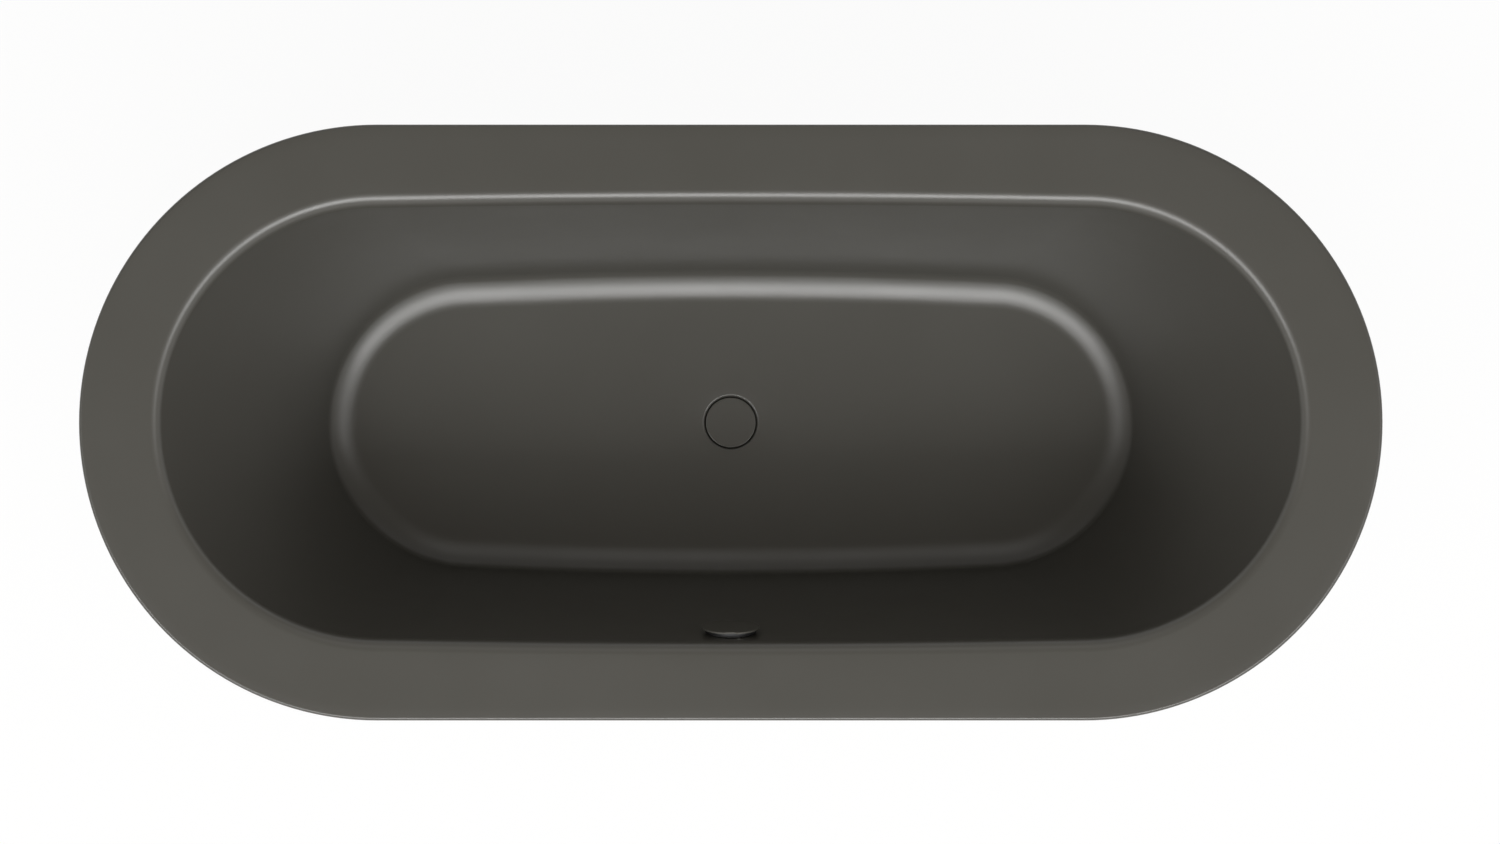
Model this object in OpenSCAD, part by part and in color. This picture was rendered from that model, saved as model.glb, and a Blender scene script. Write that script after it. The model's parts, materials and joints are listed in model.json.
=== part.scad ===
// Freestanding oval bathtub: pressed steel tub, tapered skirt, levelling
// base frame, pop-up waste with a turn knob, overflow hose and S-trap.
// Millimetres. The origin is on the floor under the middle of the tub,
// +X runs along the tub, +Z is up and the overflow is on the -Y side.

/* [Tub] */
// Length over the rim
tub_l = 1750; // [1500:1:2100]
// Width over the rim
tub_w = 800; // [700:1:960]
// Height of the rim above the floor of the room
tub_h = 600; // [540:1:720]
// Depth from the rim to the floor of the basin
basin_depth = 420; // [360:1:450]
// Thickness of the enamelled sheet
sheet_t = 3.5; // [2.5:0.1:4]
// Rim width on the long sides, to where rim and wall planes meet
rim_side_w = 104; // [80:1:125]
// Rim width at the ends, to where rim and wall planes meet
rim_end_w = 105.4; // [80:0.1:130]
// Outward bow of the long basin walls at the rim
mouth_bow = 4.5; // [1:0.5:10]
// Outward bow of the long basin walls at the basin floor
floor_bow = 9; // [2:0.5:14]
// Lean of the long basin walls from upright
side_lean = 13; // [9:0.5:14]
// Lean of the two back rests from upright
end_lean = 29.6; // [22:0.1:33]
// Radius where the rim turns down into the basin
rim_round_r = 22; // [12:1:30]
// Radius where the walls meet the basin floor
floor_round_r = 50; // [35:1:60]
// Radius of the outer edge of the rim
edge_r = 4; // [3:0.5:6]
// Height of the folded lip of the rim
lip_drop = 30; // [20:1:45]

/* [Skirt] */
// Thickness of the skirt sheet
skirt_t = 2; // [1.5:0.1:3]
// Gap between the rim lip and the skirt
skirt_gap = 3; // [2:0.5:6]
// How far the skirt leans in from top to bottom
skirt_taper = 89; // [50:1:110]
// Height of the skirt above the floor of the room
skirt_ground = 10; // [6:1:20]
// Width of the turned-in flanges of the skirt
skirt_flange = 18; // [12:1:25]
// Thickness of the foam strip under the rim
foam_t = 6; // [3:1:10]

/* [Waste] */
// Diameter of the plug cover
cover_d = 67; // [60:1:70]
// Gap round the plug cover
cover_gap = 1.5; // [1:0.1:2.5]
// Depth of the pressed recess under the plug cover
recess_depth = 8; // [8:0.5:11]
// Diameter of the waste hole in the tub
waste_hole_d = 52; // [51:0.5:54]
// How far the plug rises when it opens
plug_rise = 9; // [6:0.5:10]
// Outside diameter of the drain pipe
pipe_d = 40; // [36:1:42]
// Wall of the drain pipe
pipe_t = 2; // [1.5:0.1:3]

/* [Overflow] */
// Diameter of the turn knob
knob_d = 78; // [76:1:84]
// How far the knob's face stands off the wall
knob_face = 9.6; // [9.2:0.1:12]
// Distance from the end of the rim rounding down to the knob
knob_below_rim = 2; // [1:1:60]
// Diameter of the overflow hole in the tub
overflow_hole_d = 48; // [46:1:50]
// Outside diameter of the overflow hose
hose_d = 32; // [28:1:34]

/* [Frame and feet] */
// Side of the square frame tube
tube_w = 25; // [20:1:30]
// Wall of the square frame tube
tube_t = 2; // [1.5:0.1:2.5]
// Height of the frame's underside above the floor of the room
frame_z = 70; // [66:1:72]
// Distance of the cross bars from the middle
bar_x = 420; // [380:1:440]
// Length of the cross bars
bar_l = 460; // [440:1:480]
// Distance of the rails from the middle
rail_y = 100; // [90:1:110]
// Distance of the feet from the middle, across the tub
foot_y = 170; // [155:1:178]
// Diameter of the foot pads
pad_d = 50; // [40:1:60]
// Diameter of the foot studs
stud_d = 12; // [10:1:14]

/* [Hidden] */
$fn = 128;

enamel = "#555450";
plastic = "#2b2c2e";
zinc = "#b9bcbd";
black_rubber = "#1d1d1e";

// Clearances
fit = 0.05;      // a shaft in its bore, radial
touch = 0.1;     // pieces seated on a pressed or bent sheet
apart = 0.3;     // pieces that move against each other

// ---- outlines of the tub ----
// Each ring round the tub has the same number of points.
end_steps = 36;
side_steps = 10;
ring_n = 2 * (end_steps + side_steps);

floor_z = tub_h - basin_depth;
mouth_a = tub_l / 2 - rim_end_w;
mouth_b = tub_w / 2 - rim_side_w;
basin_a = mouth_a - basin_depth * tan(end_lean);
basin_b = mouth_b - basin_depth * tan(side_lean);

// An oval of four arcs: half length a, half width b, end radius r.
function side_angle(a, b, r) = 2 * atan((b - r) / (a - r));
function side_radius(a, b, r) =
    b - r < 0.001 ? 1e9 : r + (a - r) / sin(side_angle(a, b, r));
function side_reach(a, b, r) =
    b - r < 0.001 ? a - r : side_radius(a, b, r) * sin(side_angle(a, b, r));
function end_point(a, b, r, i) =
    let (half = 90 - side_angle(a, b, r), t = -half + 2 * half * i / end_steps)
    [a - r + r * cos(t), r * sin(t)];
function side_point(a, b, r, i) =
    let (x = side_reach(a, b, r) * (1 - 2 * i / side_steps), big = side_radius(a, b, r))
    [x, b - x * x / (big + sqrt(big * big - x * x))];
function half_turn(a, b, r) = concat(
    [for (i = [0 : end_steps - 1]) end_point(a, b, r, i)],
    [for (i = [0 : side_steps - 1]) side_point(a, b, r, i)]);
function oval(a, b, r) =
    let (half = half_turn(a, b, r)) concat(half, [for (p = half) -p]);

// Outward unit normals at the points of that oval.
function end_normal(a, b, r, i) =
    let (half = 90 - side_angle(a, b, r), t = -half + 2 * half * i / end_steps)
    [cos(t), sin(t), 0];
function side_normal(a, b, r, i) =
    let (p = side_point(a, b, r, i), big = side_radius(a, b, r))
    [p[0] / big, sqrt(1 - pow(p[0] / big, 2)), 0];
function half_normals(a, b, r) = concat(
    [for (i = [0 : end_steps - 1]) end_normal(a, b, r, i)],
    [for (i = [0 : side_steps - 1]) side_normal(a, b, r, i)]);
function normals(a, b, r) =
    let (half = half_normals(a, b, r)) concat(half, [for (n = half) -n]);

function unit(v) = v / norm(v);
function at_height(outline, z) = [for (p = outline) [p[0], p[1], z]];
function circle_ring(r, z) = [for (t = recess_turn) [r * cos(t), r * sin(t), z]];

mouth_r = mouth_b - mouth_bow;
basin_r = basin_b - floor_bow;
mouth = at_height(oval(mouth_a, mouth_b, mouth_r), tub_h);
mouth_out = normals(mouth_a, mouth_b, mouth_r);
basin = at_height(oval(basin_a, basin_b, basin_r), floor_z);
basin_in = [for (n = normals(basin_a, basin_b, basin_r)) -n];
recess_turn = [for (p = basin) atan2(p[1] / basin_b, p[0] / basin_a)];
wall_dir = [for (k = [0 : ring_n - 1]) unit(basin[k] - mouth[k])];

// A rounding in the plane of two directions. It starts along "first", ends
// along "second", and "depth" is how far the ring lies behind its front.
function turn_of(first, second) = acos(first * second);
function bend_side(first, second) =
    let (t = turn_of(first, second)) (second - cos(t) * first) / sin(t);
function bend_point(corner, first, second, r, depth, share) =
    let (
        t = turn_of(first, second),
        side = bend_side(first, second),
        s = share * t
    )
    corner - first * r * tan(t / 2) + side * depth
        + (r - depth) * (first * sin(s) + side * (1 - cos(s)));
function rim_ring(share, depth) = [for (k = [0 : ring_n - 1])
    bend_point(mouth[k], -mouth_out[k], wall_dir[k], rim_round_r, depth, share)];
function floor_ring(share, depth) = [for (k = [0 : ring_n - 1])
    bend_point(basin[k], wall_dir[k], basin_in[k], floor_round_r, -depth, share)];
function edge_ring(inset, z) =
    at_height(oval(tub_l / 2 - inset, tub_w / 2 - inset, tub_w / 2 - inset), z);

rim_steps = 6;
floor_steps = 8;
edge_steps = 4;
recess_z = floor_z - recess_depth;
recess_r = cover_d / 2 + cover_gap;
recess_round = 2;
drawn_hole_r = waste_hole_d / 2 - 6;  // the sheet's own hole, before the waste hole is cut
cutter = 60;                          // reach of a tool that cuts right through

tub_rings = concat(
    // basin side, from the waste hole outwards
    [circle_ring(drawn_hole_r, recess_z)],
    [for (t = [0 : 45 : 90]) circle_ring(recess_r - recess_round * (1 - sin(t)),
        recess_z + recess_round * (1 - cos(t)))],
    [for (t = [0 : 45 : 90]) circle_ring(recess_r + recess_round * (1 - cos(t)),
        floor_z - recess_round * (1 - sin(t)))],
    [for (i = [floor_steps : -1 : 0]) floor_ring(i / floor_steps, 0)],
    [for (i = [rim_steps : -1 : 0]) rim_ring(i / rim_steps, 0)],
    [for (i = [0 : edge_steps]) edge_ring(edge_r * (1 - sin(90 * i / edge_steps)),
        tub_h - edge_r * (1 - cos(90 * i / edge_steps)))],
    [edge_ring(0, tub_h - lip_drop), edge_ring(sheet_t, tub_h - lip_drop)],
    // hidden side, from the lip back to the waste hole
    [edge_ring(sheet_t, tub_h - sheet_t)],
    [for (i = [0 : rim_steps]) rim_ring(i / rim_steps, sheet_t)],
    [for (i = [0 : floor_steps]) floor_ring(i / floor_steps, sheet_t)],
    [circle_ring(recess_r + sheet_t, floor_z - sheet_t)],
    [for (t = [90 : -45 : 0]) circle_ring(
        recess_r - recess_round + (recess_round + sheet_t) * sin(t),
        recess_z + recess_round - (recess_round + sheet_t) * cos(t))],
    [circle_ring(drawn_hole_r, recess_z - sheet_t)]);

// Skins a closed loop of rings.
module ring_skin(rings) {
    n = len(rings[0]);
    m = len(rings);
    points = [for (ring = rings) each ring];
    faces = [for (j = [0 : m - 1], k = [0 : n - 1])
        [j * n + k, (j + 1) % m * n + k, (j + 1) % m * n + (k + 1) % n, j * n + (k + 1) % n]];
    polyhedron(points = points, faces = faces, convexity = 8);
}

// ---- the overflow's own frame: +Z into the basin, +Y down the wall ----
rim_tangent = rim_round_r * tan((90 - side_lean) / 2);
overflow_down = rim_tangent + knob_below_rim + knob_d / 2;
overflow_y = -(mouth_b - overflow_down * sin(side_lean));
overflow_z = tub_h - overflow_down * cos(side_lean);
module at_overflow() {
    translate([0, overflow_y, overflow_z]) rotate([side_lean - 90, 0, 0]) children();
}
function overflow_point(x, down, out) = [
    x,
    overflow_y + down * sin(side_lean) + out * cos(side_lean),
    overflow_z - down * cos(side_lean) + out * sin(side_lean)];

// ---- skirt ----
skirt_top = tub_h - sheet_t - foam_t;
skirt_inset = sheet_t + skirt_gap;
end_centre = (tub_l - tub_w) / 2;
skirt_top_r = tub_w / 2 - skirt_inset;
skirt_low_r = skirt_top_r - skirt_taper;
skirt_slope = skirt_taper / (skirt_top - skirt_ground);
skirt_lean = atan(skirt_slope);
skirt_wall = skirt_t / cos(skirt_lean);
function skirt_outer_r(z) = skirt_low_r + (z - skirt_ground) * skirt_slope;
function skirt_inner_r(z) = skirt_outer_r(z) - skirt_wall;
function skirt_inner_y(x, z) = sqrt(pow(skirt_inner_r(z), 2) - pow(max(0, x - end_centre), 2));

// A band that follows the stadium outline; the profile is (radius, height).
module stadium_band(profile) {
    for (side = [0, 1]) mirror([side, 0, 0]) {
        translate([end_centre, 0, 0]) rotate([0, 0, -90])
            rotate_extrude(angle = 180) polygon(profile);
    }
    for (side = [0, 1]) mirror([0, side, 0]) rotate([90, 0, 90])
        linear_extrude(height = 2 * end_centre, center = true) polygon(profile);
}

// ---- frame ----
rail_z = frame_z + tube_w;
saddle_plate = 3;
saddle_w = 60;
saddle_pad_t = 10;
saddle_top = floor_z - sheet_t - touch;
plate_z = saddle_top - saddle_pad_t - saddle_plate;
rail_over = 30;
rail_l = 2 * (bar_x + rail_over);
tie_x = 215;
saddle_from_bar = 20;
saddle_x = [tie_x, bar_x - saddle_from_bar];
side_signs = [-1, 1];
module square_tube(length) {
    difference() {
        cube([length, tube_w, tube_w], center = true);
        cube([length + 1, tube_w - 2 * tube_t, tube_w - 2 * tube_t], center = true);
    }
}
module at_saddles() {
    for (x = saddle_x, sx = side_signs, sy = side_signs)
        translate([sx * x, sy * rail_y, 0]) children();
}
module at_foot(i) {
    translate([(i % 2 == 0 ? -1 : 1) * bar_x, (i < 2 ? -1 : 1) * foot_y, 0]) children();
}

// ---- feet ----
pad_h = 12;
stud_r = stud_d / 2;
stud_foot_z = 5;
stud_over = 20;
stud_top = frame_z + tube_w + stud_over;
bush_r = stud_r + 4;
bush_over = 4;
nut_h = 8;
nut_across = 1.6 * stud_d;
ball_r = 4.5;

// ---- waste ----
collar_t = 4;
collar_l = 26;
waste_hole_r = waste_hole_d / 2;
gasket_t = 2;
flange_z = recess_z + 1;
flange_t = 2;
flange_r = recess_r - 2.5;
neck_r = waste_hole_r - 1.5;
throat_r = neck_r - 2.5;
neck_low = recess_z - 22;
cover_t = 3.5;
cover_low = floor_z - cover_t;
seal_r = throat_r + 2;
seal_w = 5;
stem_r = 4;
stem_pin_r = 3;
stem_pin_l = 1.5;
hub_r = 8;
hub_top = recess_z - 2;
hub_low = neck_low - 2;
stem_low = recess_z - 10;
body_top = recess_z - sheet_t - gasket_t;
body_r = 33;
body_wall = 4;
body_flange_r = 38;
body_flange_t = 6;
lever_half = 15;
lever_arm = plug_rise / (2 * sin(lever_half));
tip_r = 3;
pin_low = recess_z - 32;
tip_z = pin_low - apart - tip_r;
shaft_z = tip_z + lever_arm * sin(lever_half);
shaft_y = -lever_arm * cos(lever_half);
shaft_r = 3;
chamber_low = shaft_z - 26;
outlet_low = chamber_low - 18;
crank_arm = 12;
crank_x = 34;
crank_t = 4;
crank_pin_r = 1.5;
crank_pin_l = 7;
rod_x = crank_x + crank_t + 1;
rod_y = shaft_y + crank_arm * sin(lever_half);
rod_z = shaft_z + crank_arm * cos(lever_half);
rod_travel = 2 * crank_arm * sin(lever_half);
rod_r = 1.2;
bearing_wall = 3;
stop_y = -56;
stop_t = 12;
stop_w = 12;
stop_root = 8;
stop_arm = 6;
rod_end_y = stop_y + rod_travel + apart;
hose_over_rail = 1;
port_z = max(body_top - body_flange_t - hose_d / 2 + 0.5,
    rail_z + tube_w + hose_over_rail + hose_d / 2);
port_len = body_flange_r + collar_l / 2 + 1;
knob_angle = 90;
spool_r = rod_travel / (knob_angle * PI / 180);

// ---- trap ----
pipe_r = pipe_d / 2;
trap_r = 40;
over_r = 36;
trap_turn_z = pipe_r + trap_r + 22;
joint_z = trap_turn_z + 12;
over_turn_z = joint_z + 10;
outlet_x = 2 * trap_r + 2 * over_r;
outlet_end_z = 18;
union_r = pipe_r + 6;
union_h = 18;

// ---- overflow ----
overflow_hole_r = overflow_hole_d / 2;
hose_r = hose_d / 2;
hose_t = 2;
bowl_r = overflow_hole_r + 7;
bowl_wall = 3;
overflow_gasket_t = 3;
bowl_top = -(sheet_t + touch + overflow_gasket_t);
bowl_low = bowl_top - 34;
spigot_out = bowl_top - 17;
spigot_reach = 58;
spigot_mouth = 20;
screw_x = 15;
screw_r = 2.5;
spindle_r = 3;
plate_low = touch + 1;
plate_t = 2.5;
plate_r = overflow_hole_r + 8;
bearing_depth = 1;
knob_low = 2;
knob_top_t = 2.3;
knob_wall = 6;
scallop_r = 16;
scallop_in = 4;
gland_x = bowl_r + 3;
gland_r = 5;
cable_r = 2.5;

// ---------------- pieces ----------------

module tub_shell() {
    color(enamel) difference() {
        ring_skin(tub_rings);
        translate([0, 0, recess_z - cutter / 2]) cylinder(r = waste_hole_r, h = cutter);
        at_overflow() translate([0, 0, -cutter / 2]) cylinder(r = overflow_hole_r, h = cutter);
    }
}

// One bent profile: top flange, leaning wall and bottom flange.
module skirt() {
    top = skirt_top;
    low = skirt_ground;
    color(enamel) stadium_band([
        [skirt_outer_r(low), low],
        [skirt_outer_r(top), top],
        [skirt_outer_r(top) - skirt_wall - skirt_flange, top],
        [skirt_outer_r(top) - skirt_wall - skirt_flange, top - skirt_t],
        [skirt_inner_r(top - skirt_t), top - skirt_t],
        [skirt_inner_r(low + skirt_t), low + skirt_t],
        [skirt_outer_r(low) - skirt_wall - skirt_flange, low + skirt_t],
        [skirt_outer_r(low) - skirt_wall - skirt_flange, low]]);
}

module rim_foam() {
    outer = skirt_top_r - skirt_t;
    inner = outer - skirt_flange + skirt_t;
    color(black_rubber) stadium_band([
        [inner, skirt_top], [outer, skirt_top],
        [outer, tub_h - sheet_t], [inner, tub_h - sheet_t]]);
}

// A soft strip under the bottom flange that closes most of the floor gap.
module skirt_edge_trim() {
    trim_low = 4;
    trim_w = 8;
    color(black_rubber) stadium_band([
        [skirt_low_r - trim_w, trim_low], [skirt_low_r, trim_low],
        [skirt_low_r, skirt_ground], [skirt_low_r - trim_w, skirt_ground]]);
}

module sound_mats() {
    mat_l = 110;
    mat_t = 4;
    mat_gap = 10;
    mat = [mat_l, 2 * (rail_y - saddle_w / 2 - mat_gap), mat_t];
    color(black_rubber) for (side = side_signs)
        translate([side * (recess_r + 2 * mat_gap + mat_l / 2), 0, floor_z - sheet_t - touch - mat_t / 2])
            cube(mat, center = true);
}

module base_frame() {
    post_z = rail_z + tube_w;
    color(plastic) difference() {
        union() {
            for (side = side_signs) {
                translate([side * bar_x, 0, frame_z + tube_w / 2]) rotate([0, 0, 90])
                    square_tube(bar_l);
                translate([0, side * rail_y, rail_z + tube_w / 2]) square_tube(rail_l);
                translate([side * tie_x, 0, rail_z + tube_w / 2]) rotate([0, 0, 90])
                    square_tube(2 * rail_y - tube_w);
            }
            at_saddles() {
                translate([0, 0, (post_z + plate_z) / 2]) rotate([0, 90, 0])
                    square_tube(plate_z - post_z);
                translate([0, 0, plate_z + saddle_plate / 2])
                    cube([saddle_w, saddle_w, saddle_plate], center = true);
            }
        }
        for (i = [0 : 3]) at_foot(i) translate([0, 0, frame_z - 1])
            cylinder(r = bush_r, h = tube_w + 2);
    }
}

module tube_end_caps() {
    cap_t = 2;
    color(plastic) for (x = side_signs, y = side_signs)
        translate([x * bar_x, y * (bar_l + cap_t) / 2, frame_z + tube_w / 2])
            cube([tube_w, cap_t, tube_w], center = true);
}

module saddle_pads() {
    color(black_rubber) at_saddles()
        translate([0, 0, plate_z + saddle_plate + saddle_pad_t / 2])
            cube([saddle_w, saddle_w, saddle_pad_t], center = true);
}

// Angle brackets from the cross bars to the leaning skirt wall.
bracket_w = 40;
bracket_t = 3;
bracket_z = frame_z + tube_w;
bracket_in = bar_l / 2 - 34;
bracket_tab = 34;
bolt_y = bar_l / 2 - 17;
bolt_r = 3;
module skirt_brackets() {
    top = bracket_z + bracket_t;
    tab_top = top + bracket_tab;
    far_x = bar_x + bracket_w / 2;
    color(zinc) for (x = side_signs, y = [0, 1]) translate([x * bar_x, 0, 0])
        mirror([0, y, 0]) difference() {
            rotate([90, 0, 90]) linear_extrude(height = bracket_w, center = true) polygon([
                [bracket_in, bracket_z],
                [skirt_inner_y(far_x, bracket_z) - touch, bracket_z],
                [skirt_inner_y(far_x, tab_top) - touch, tab_top],
                [skirt_inner_y(far_x, tab_top) - touch - bracket_t, tab_top],
                [skirt_inner_y(far_x, top) - touch - bracket_t, top],
                [bracket_in, top]]);
            translate([0, bolt_y, bracket_z - 1]) cylinder(r = bolt_r + fit, h = bracket_t + 2);
        }
}

module bracket_bolts() {
    head_h = 4;
    color(zinc) for (x = side_signs, y = side_signs)
        translate([x * bar_x, y * bolt_y, bracket_z]) {
            cylinder(r = bolt_r, h = bracket_t);
            translate([0, 0, bracket_t]) cylinder(r = 1.8 * bolt_r, h = head_h, $fn = 6);
        }
}

module threaded_bushes() {
    color(zinc) for (i = [0 : 3]) at_foot(i) translate([0, 0, frame_z - bush_over])
        difference() {
            cylinder(r = bush_r - touch / 2, h = tube_w + bush_over);
            translate([0, 0, -1]) cylinder(r = stud_r + fit, h = tube_w + bush_over + 2);
        }
}

module lock_nuts() {
    color(zinc) for (i = [0 : 3]) at_foot(i) translate([0, 0, frame_z - bush_over - nut_h])
        difference() {
            cylinder(d = nut_across / cos(30), h = nut_h, $fn = 6);
            translate([0, 0, -1]) cylinder(r = stud_r + fit, h = nut_h + 2);
        }
}

// A stud with a ball end, flats for a spanner and a screwdriver slot.
module foot_stud(i) {
    hex_z = pad_h + 2;
    hex_h = 8;
    slot_w = 2;
    slot_depth = 2.5;
    neck_r = ball_r - 1;
    color(zinc) at_foot(i) difference() {
        union() {
            translate([0, 0, stud_foot_z + ball_r]) sphere(r = ball_r);
            translate([0, 0, stud_foot_z + ball_r]) cylinder(r = neck_r, h = pad_h - stud_foot_z);
            translate([0, 0, hex_z]) cylinder(d = nut_across / cos(30), h = hex_h, $fn = 6);
            translate([0, 0, hex_z]) cylinder(r = stud_r, h = stud_top - hex_z);
        }
        translate([0, 0, stud_top]) cube([stud_d + 1, slot_w, 2 * slot_depth], center = true);
    }
}

// A round pad with the socket that the stud's ball turns in.
module foot_pad(i) {
    base_h = 6;
    draft = 2;
    socket_wall = 4;
    socket_root = 7;
    color(black_rubber) at_foot(i) difference() {
        union() {
            cylinder(r1 = pad_d / 2, r2 = pad_d / 2 - draft, h = base_h);
            translate([0, 0, base_h])
                cylinder(r1 = ball_r + socket_root, r2 = ball_r + socket_wall, h = pad_h - base_h);
        }
        translate([0, 0, stud_foot_z + ball_r]) sphere(r = ball_r + fit);
        translate([0, 0, stud_foot_z + ball_r]) cylinder(r = ball_r + fit, h = pad_h);
    }
}

// Earthing lug on the outer side of a rail.
lug_x = 60;
lug_l = 30;
lug_w = 16;
lug_t = 2;
lug_hole_x = 7;
lug_hole_r = 3;
module earth_lug() {
    color(zinc) translate([lug_x, rail_y + tube_w / 2, rail_z + tube_w / 2])
        rotate([-90, 0, 0]) difference() {
            translate([0, 0, lug_t / 2]) cube([lug_l, lug_w, lug_t], center = true);
            for (x = side_signs) translate([x * lug_hole_x, 0, -1])
                cylinder(r = lug_hole_r, h = lug_t + 2);
        }
}

module earth_screw() {
    head_r = 5.5;
    head_h = 4;
    color(zinc) translate([lug_x - lug_hole_x, rail_y + tube_w / 2, rail_z + tube_w / 2])
        rotate([-90, 0, 0]) {
            cylinder(r = lug_hole_r - fit, h = lug_t);
            translate([0, 0, lug_t]) cylinder(r = head_r, h = head_h, $fn = 6);
        }
}

// ---- waste ----
module plug_cover() {
    edge = 0.8;
    r = cover_d / 2;
    color(enamel) difference() {
        translate([0, 0, cover_low]) rotate_extrude() polygon(concat(
            [[0, 0], [r - edge, 0], [r, edge]],
            [for (t = [0 : 22.5 : 90]) [r - edge + edge * cos(t), cover_t - edge + edge * sin(t)]],
            [[0, cover_t]]));
        translate([0, 0, cover_low - 1]) cylinder(r = stem_pin_r, h = stem_pin_l + 1);
    }
}

module plug_seal() {
    color(black_rubber) translate([0, 0, flange_z + flange_t + apart]) difference() {
        cylinder(r = seal_r + seal_w, h = cover_low - flange_z - flange_t - apart);
        translate([0, 0, -1]) cylinder(r = seal_r, h = cutter);
    }
}

module plug_stem() {
    color(zinc) {
        translate([0, 0, stem_low]) cylinder(r = stem_r, h = cover_low - stem_low);
        translate([0, 0, cover_low]) cylinder(r = stem_pin_r - fit, h = stem_pin_l);
    }
}

module waste_flange() {
    arm_t = 2;
    arm_h = 12;
    color(zinc) difference() {
        union() {
            translate([0, 0, flange_z]) cylinder(r = flange_r, h = flange_t);
            translate([0, 0, neck_low]) cylinder(r = neck_r, h = flange_z - neck_low);
        }
        difference() {
            translate([0, 0, neck_low - 1]) cylinder(r = throat_r, h = cutter);
            translate([0, 0, hub_low]) cylinder(r = hub_r, h = hub_top - hub_low);
            for (a = [0 : 120 : 240]) rotate([0, 0, a + 90])
                translate([0, -arm_t / 2, neck_low]) cube([throat_r + 1, arm_t, arm_h]);
        }
        translate([0, 0, hub_low - 1]) cylinder(r = stem_r + fit, h = hub_top - hub_low + 2);
    }
    color(zinc) translate([0, 0, hub_low]) difference() {
        cylinder(r = hub_r, h = neck_low - hub_low);
        translate([0, 0, -1]) cylinder(r = stem_r + fit, h = cutter);
    }
}

module flange_gasket() {
    color(black_rubber) translate([0, 0, recess_z]) difference() {
        cylinder(r = flange_r - 1, h = flange_z - recess_z);
        translate([0, 0, -1]) cylinder(r = waste_hole_r, h = cutter);
    }
}

module waste_gasket() {
    color(black_rubber) translate([0, 0, body_top]) difference() {
        cylinder(r = body_flange_r - 2, h = gasket_t);
        translate([0, 0, -1]) cylinder(r = waste_hole_r, h = gasket_t + 2);
    }
}

// Chamber under the basin with the lever's bearings, the hose port, the
// cable stop and the outlet.
module waste_body() {
    chamber_top = neck_low - 1;
    boss_x = crank_x - apart;
    stub_l = 20;
    color(plastic) difference() {
        union() {
            translate([0, 0, chamber_low - body_wall])
                cylinder(r = body_r, h = body_top - chamber_low + body_wall);
            translate([0, 0, body_top - body_flange_t])
                cylinder(r = body_flange_r, h = body_flange_t);
            translate([0, 0, outlet_low]) cylinder(r = pipe_r, h = stub_l);
            translate([-boss_x, shaft_y, shaft_z]) rotate([0, 90, 0])
                cylinder(r = shaft_r + bearing_wall, h = 2 * boss_x);
            translate([0, 0, port_z]) rotate([90, 0, 0]) cylinder(r = hose_r, h = port_len);
            translate([body_r - stop_root, stop_y, rod_z - stop_w / 2]) {
                cube([rod_x - body_r + stop_root + stop_w / 2, stop_t, stop_w]);
                cube([stop_arm, -stop_y - 10, stop_w]);
            }
        }
        translate([0, 0, chamber_low]) cylinder(r = body_r - body_wall, h = chamber_top - chamber_low);
        translate([0, 0, neck_low - 2]) cylinder(r = neck_r + fit, h = cutter);
        translate([0, 0, outlet_low - 1]) cylinder(r = pipe_r - pipe_t, h = 2 * stub_l);
        translate([0, 0, port_z]) rotate([90, 0, 0]) cylinder(r = hose_r - hose_t, h = port_len + 1);
        translate([-boss_x + bearing_wall, shaft_y, shaft_z]) rotate([0, 90, 0])
            cylinder(r = shaft_r + fit, h = 2 * boss_x);
        translate([rod_x, stop_y - 1, rod_z]) rotate([-90, 0, 0])
            cylinder(r = rod_r + apart, h = stop_t + 2);
    }
}

module lift_pin() {
    color(zinc) translate([0, 0, pin_low])
        cylinder(r = stem_r, h = stem_low - apart - pin_low);
}

// Shaft, inner arm and outer crank in one piece.
module lift_lever() {
    arm_t = 5;
    arm_h = 4;
    hub_wall = 1.5;
    crank_w = 6;
    crank_hub_r = 5;
    inner_x = -crank_x + apart + bearing_wall + 1;
    color(zinc) translate([0, shaft_y, shaft_z]) {
        translate([inner_x, 0, 0]) rotate([0, 90, 0])
            cylinder(r = shaft_r, h = crank_x + crank_t - inner_x);
        rotate([-lever_half, 0, 0]) {
            translate([-arm_t / 2, 0, -arm_h / 2]) cube([arm_t, lever_arm, arm_h]);
            translate([-arm_t / 2, lever_arm, 0]) rotate([0, 90, 0]) cylinder(r = tip_r, h = arm_t);
            translate([-arm_t / 2, 0, 0]) rotate([0, 90, 0]) cylinder(r = shaft_r + hub_wall, h = arm_t);
            translate([crank_x, -crank_w / 2, 0]) cube([crank_t, crank_w, crank_arm]);
            translate([crank_x, 0, crank_arm]) rotate([0, 90, 0])
                cylinder(r = crank_w / 2, h = crank_t);
            translate([crank_x, 0, 0]) rotate([0, 90, 0]) cylinder(r = crank_hub_r, h = crank_t);
            translate([crank_x + crank_t, 0, crank_arm]) rotate([0, 90, 0])
                cylinder(r = crank_pin_r, h = crank_pin_l - crank_t + 1);
        }
    }
}

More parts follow.
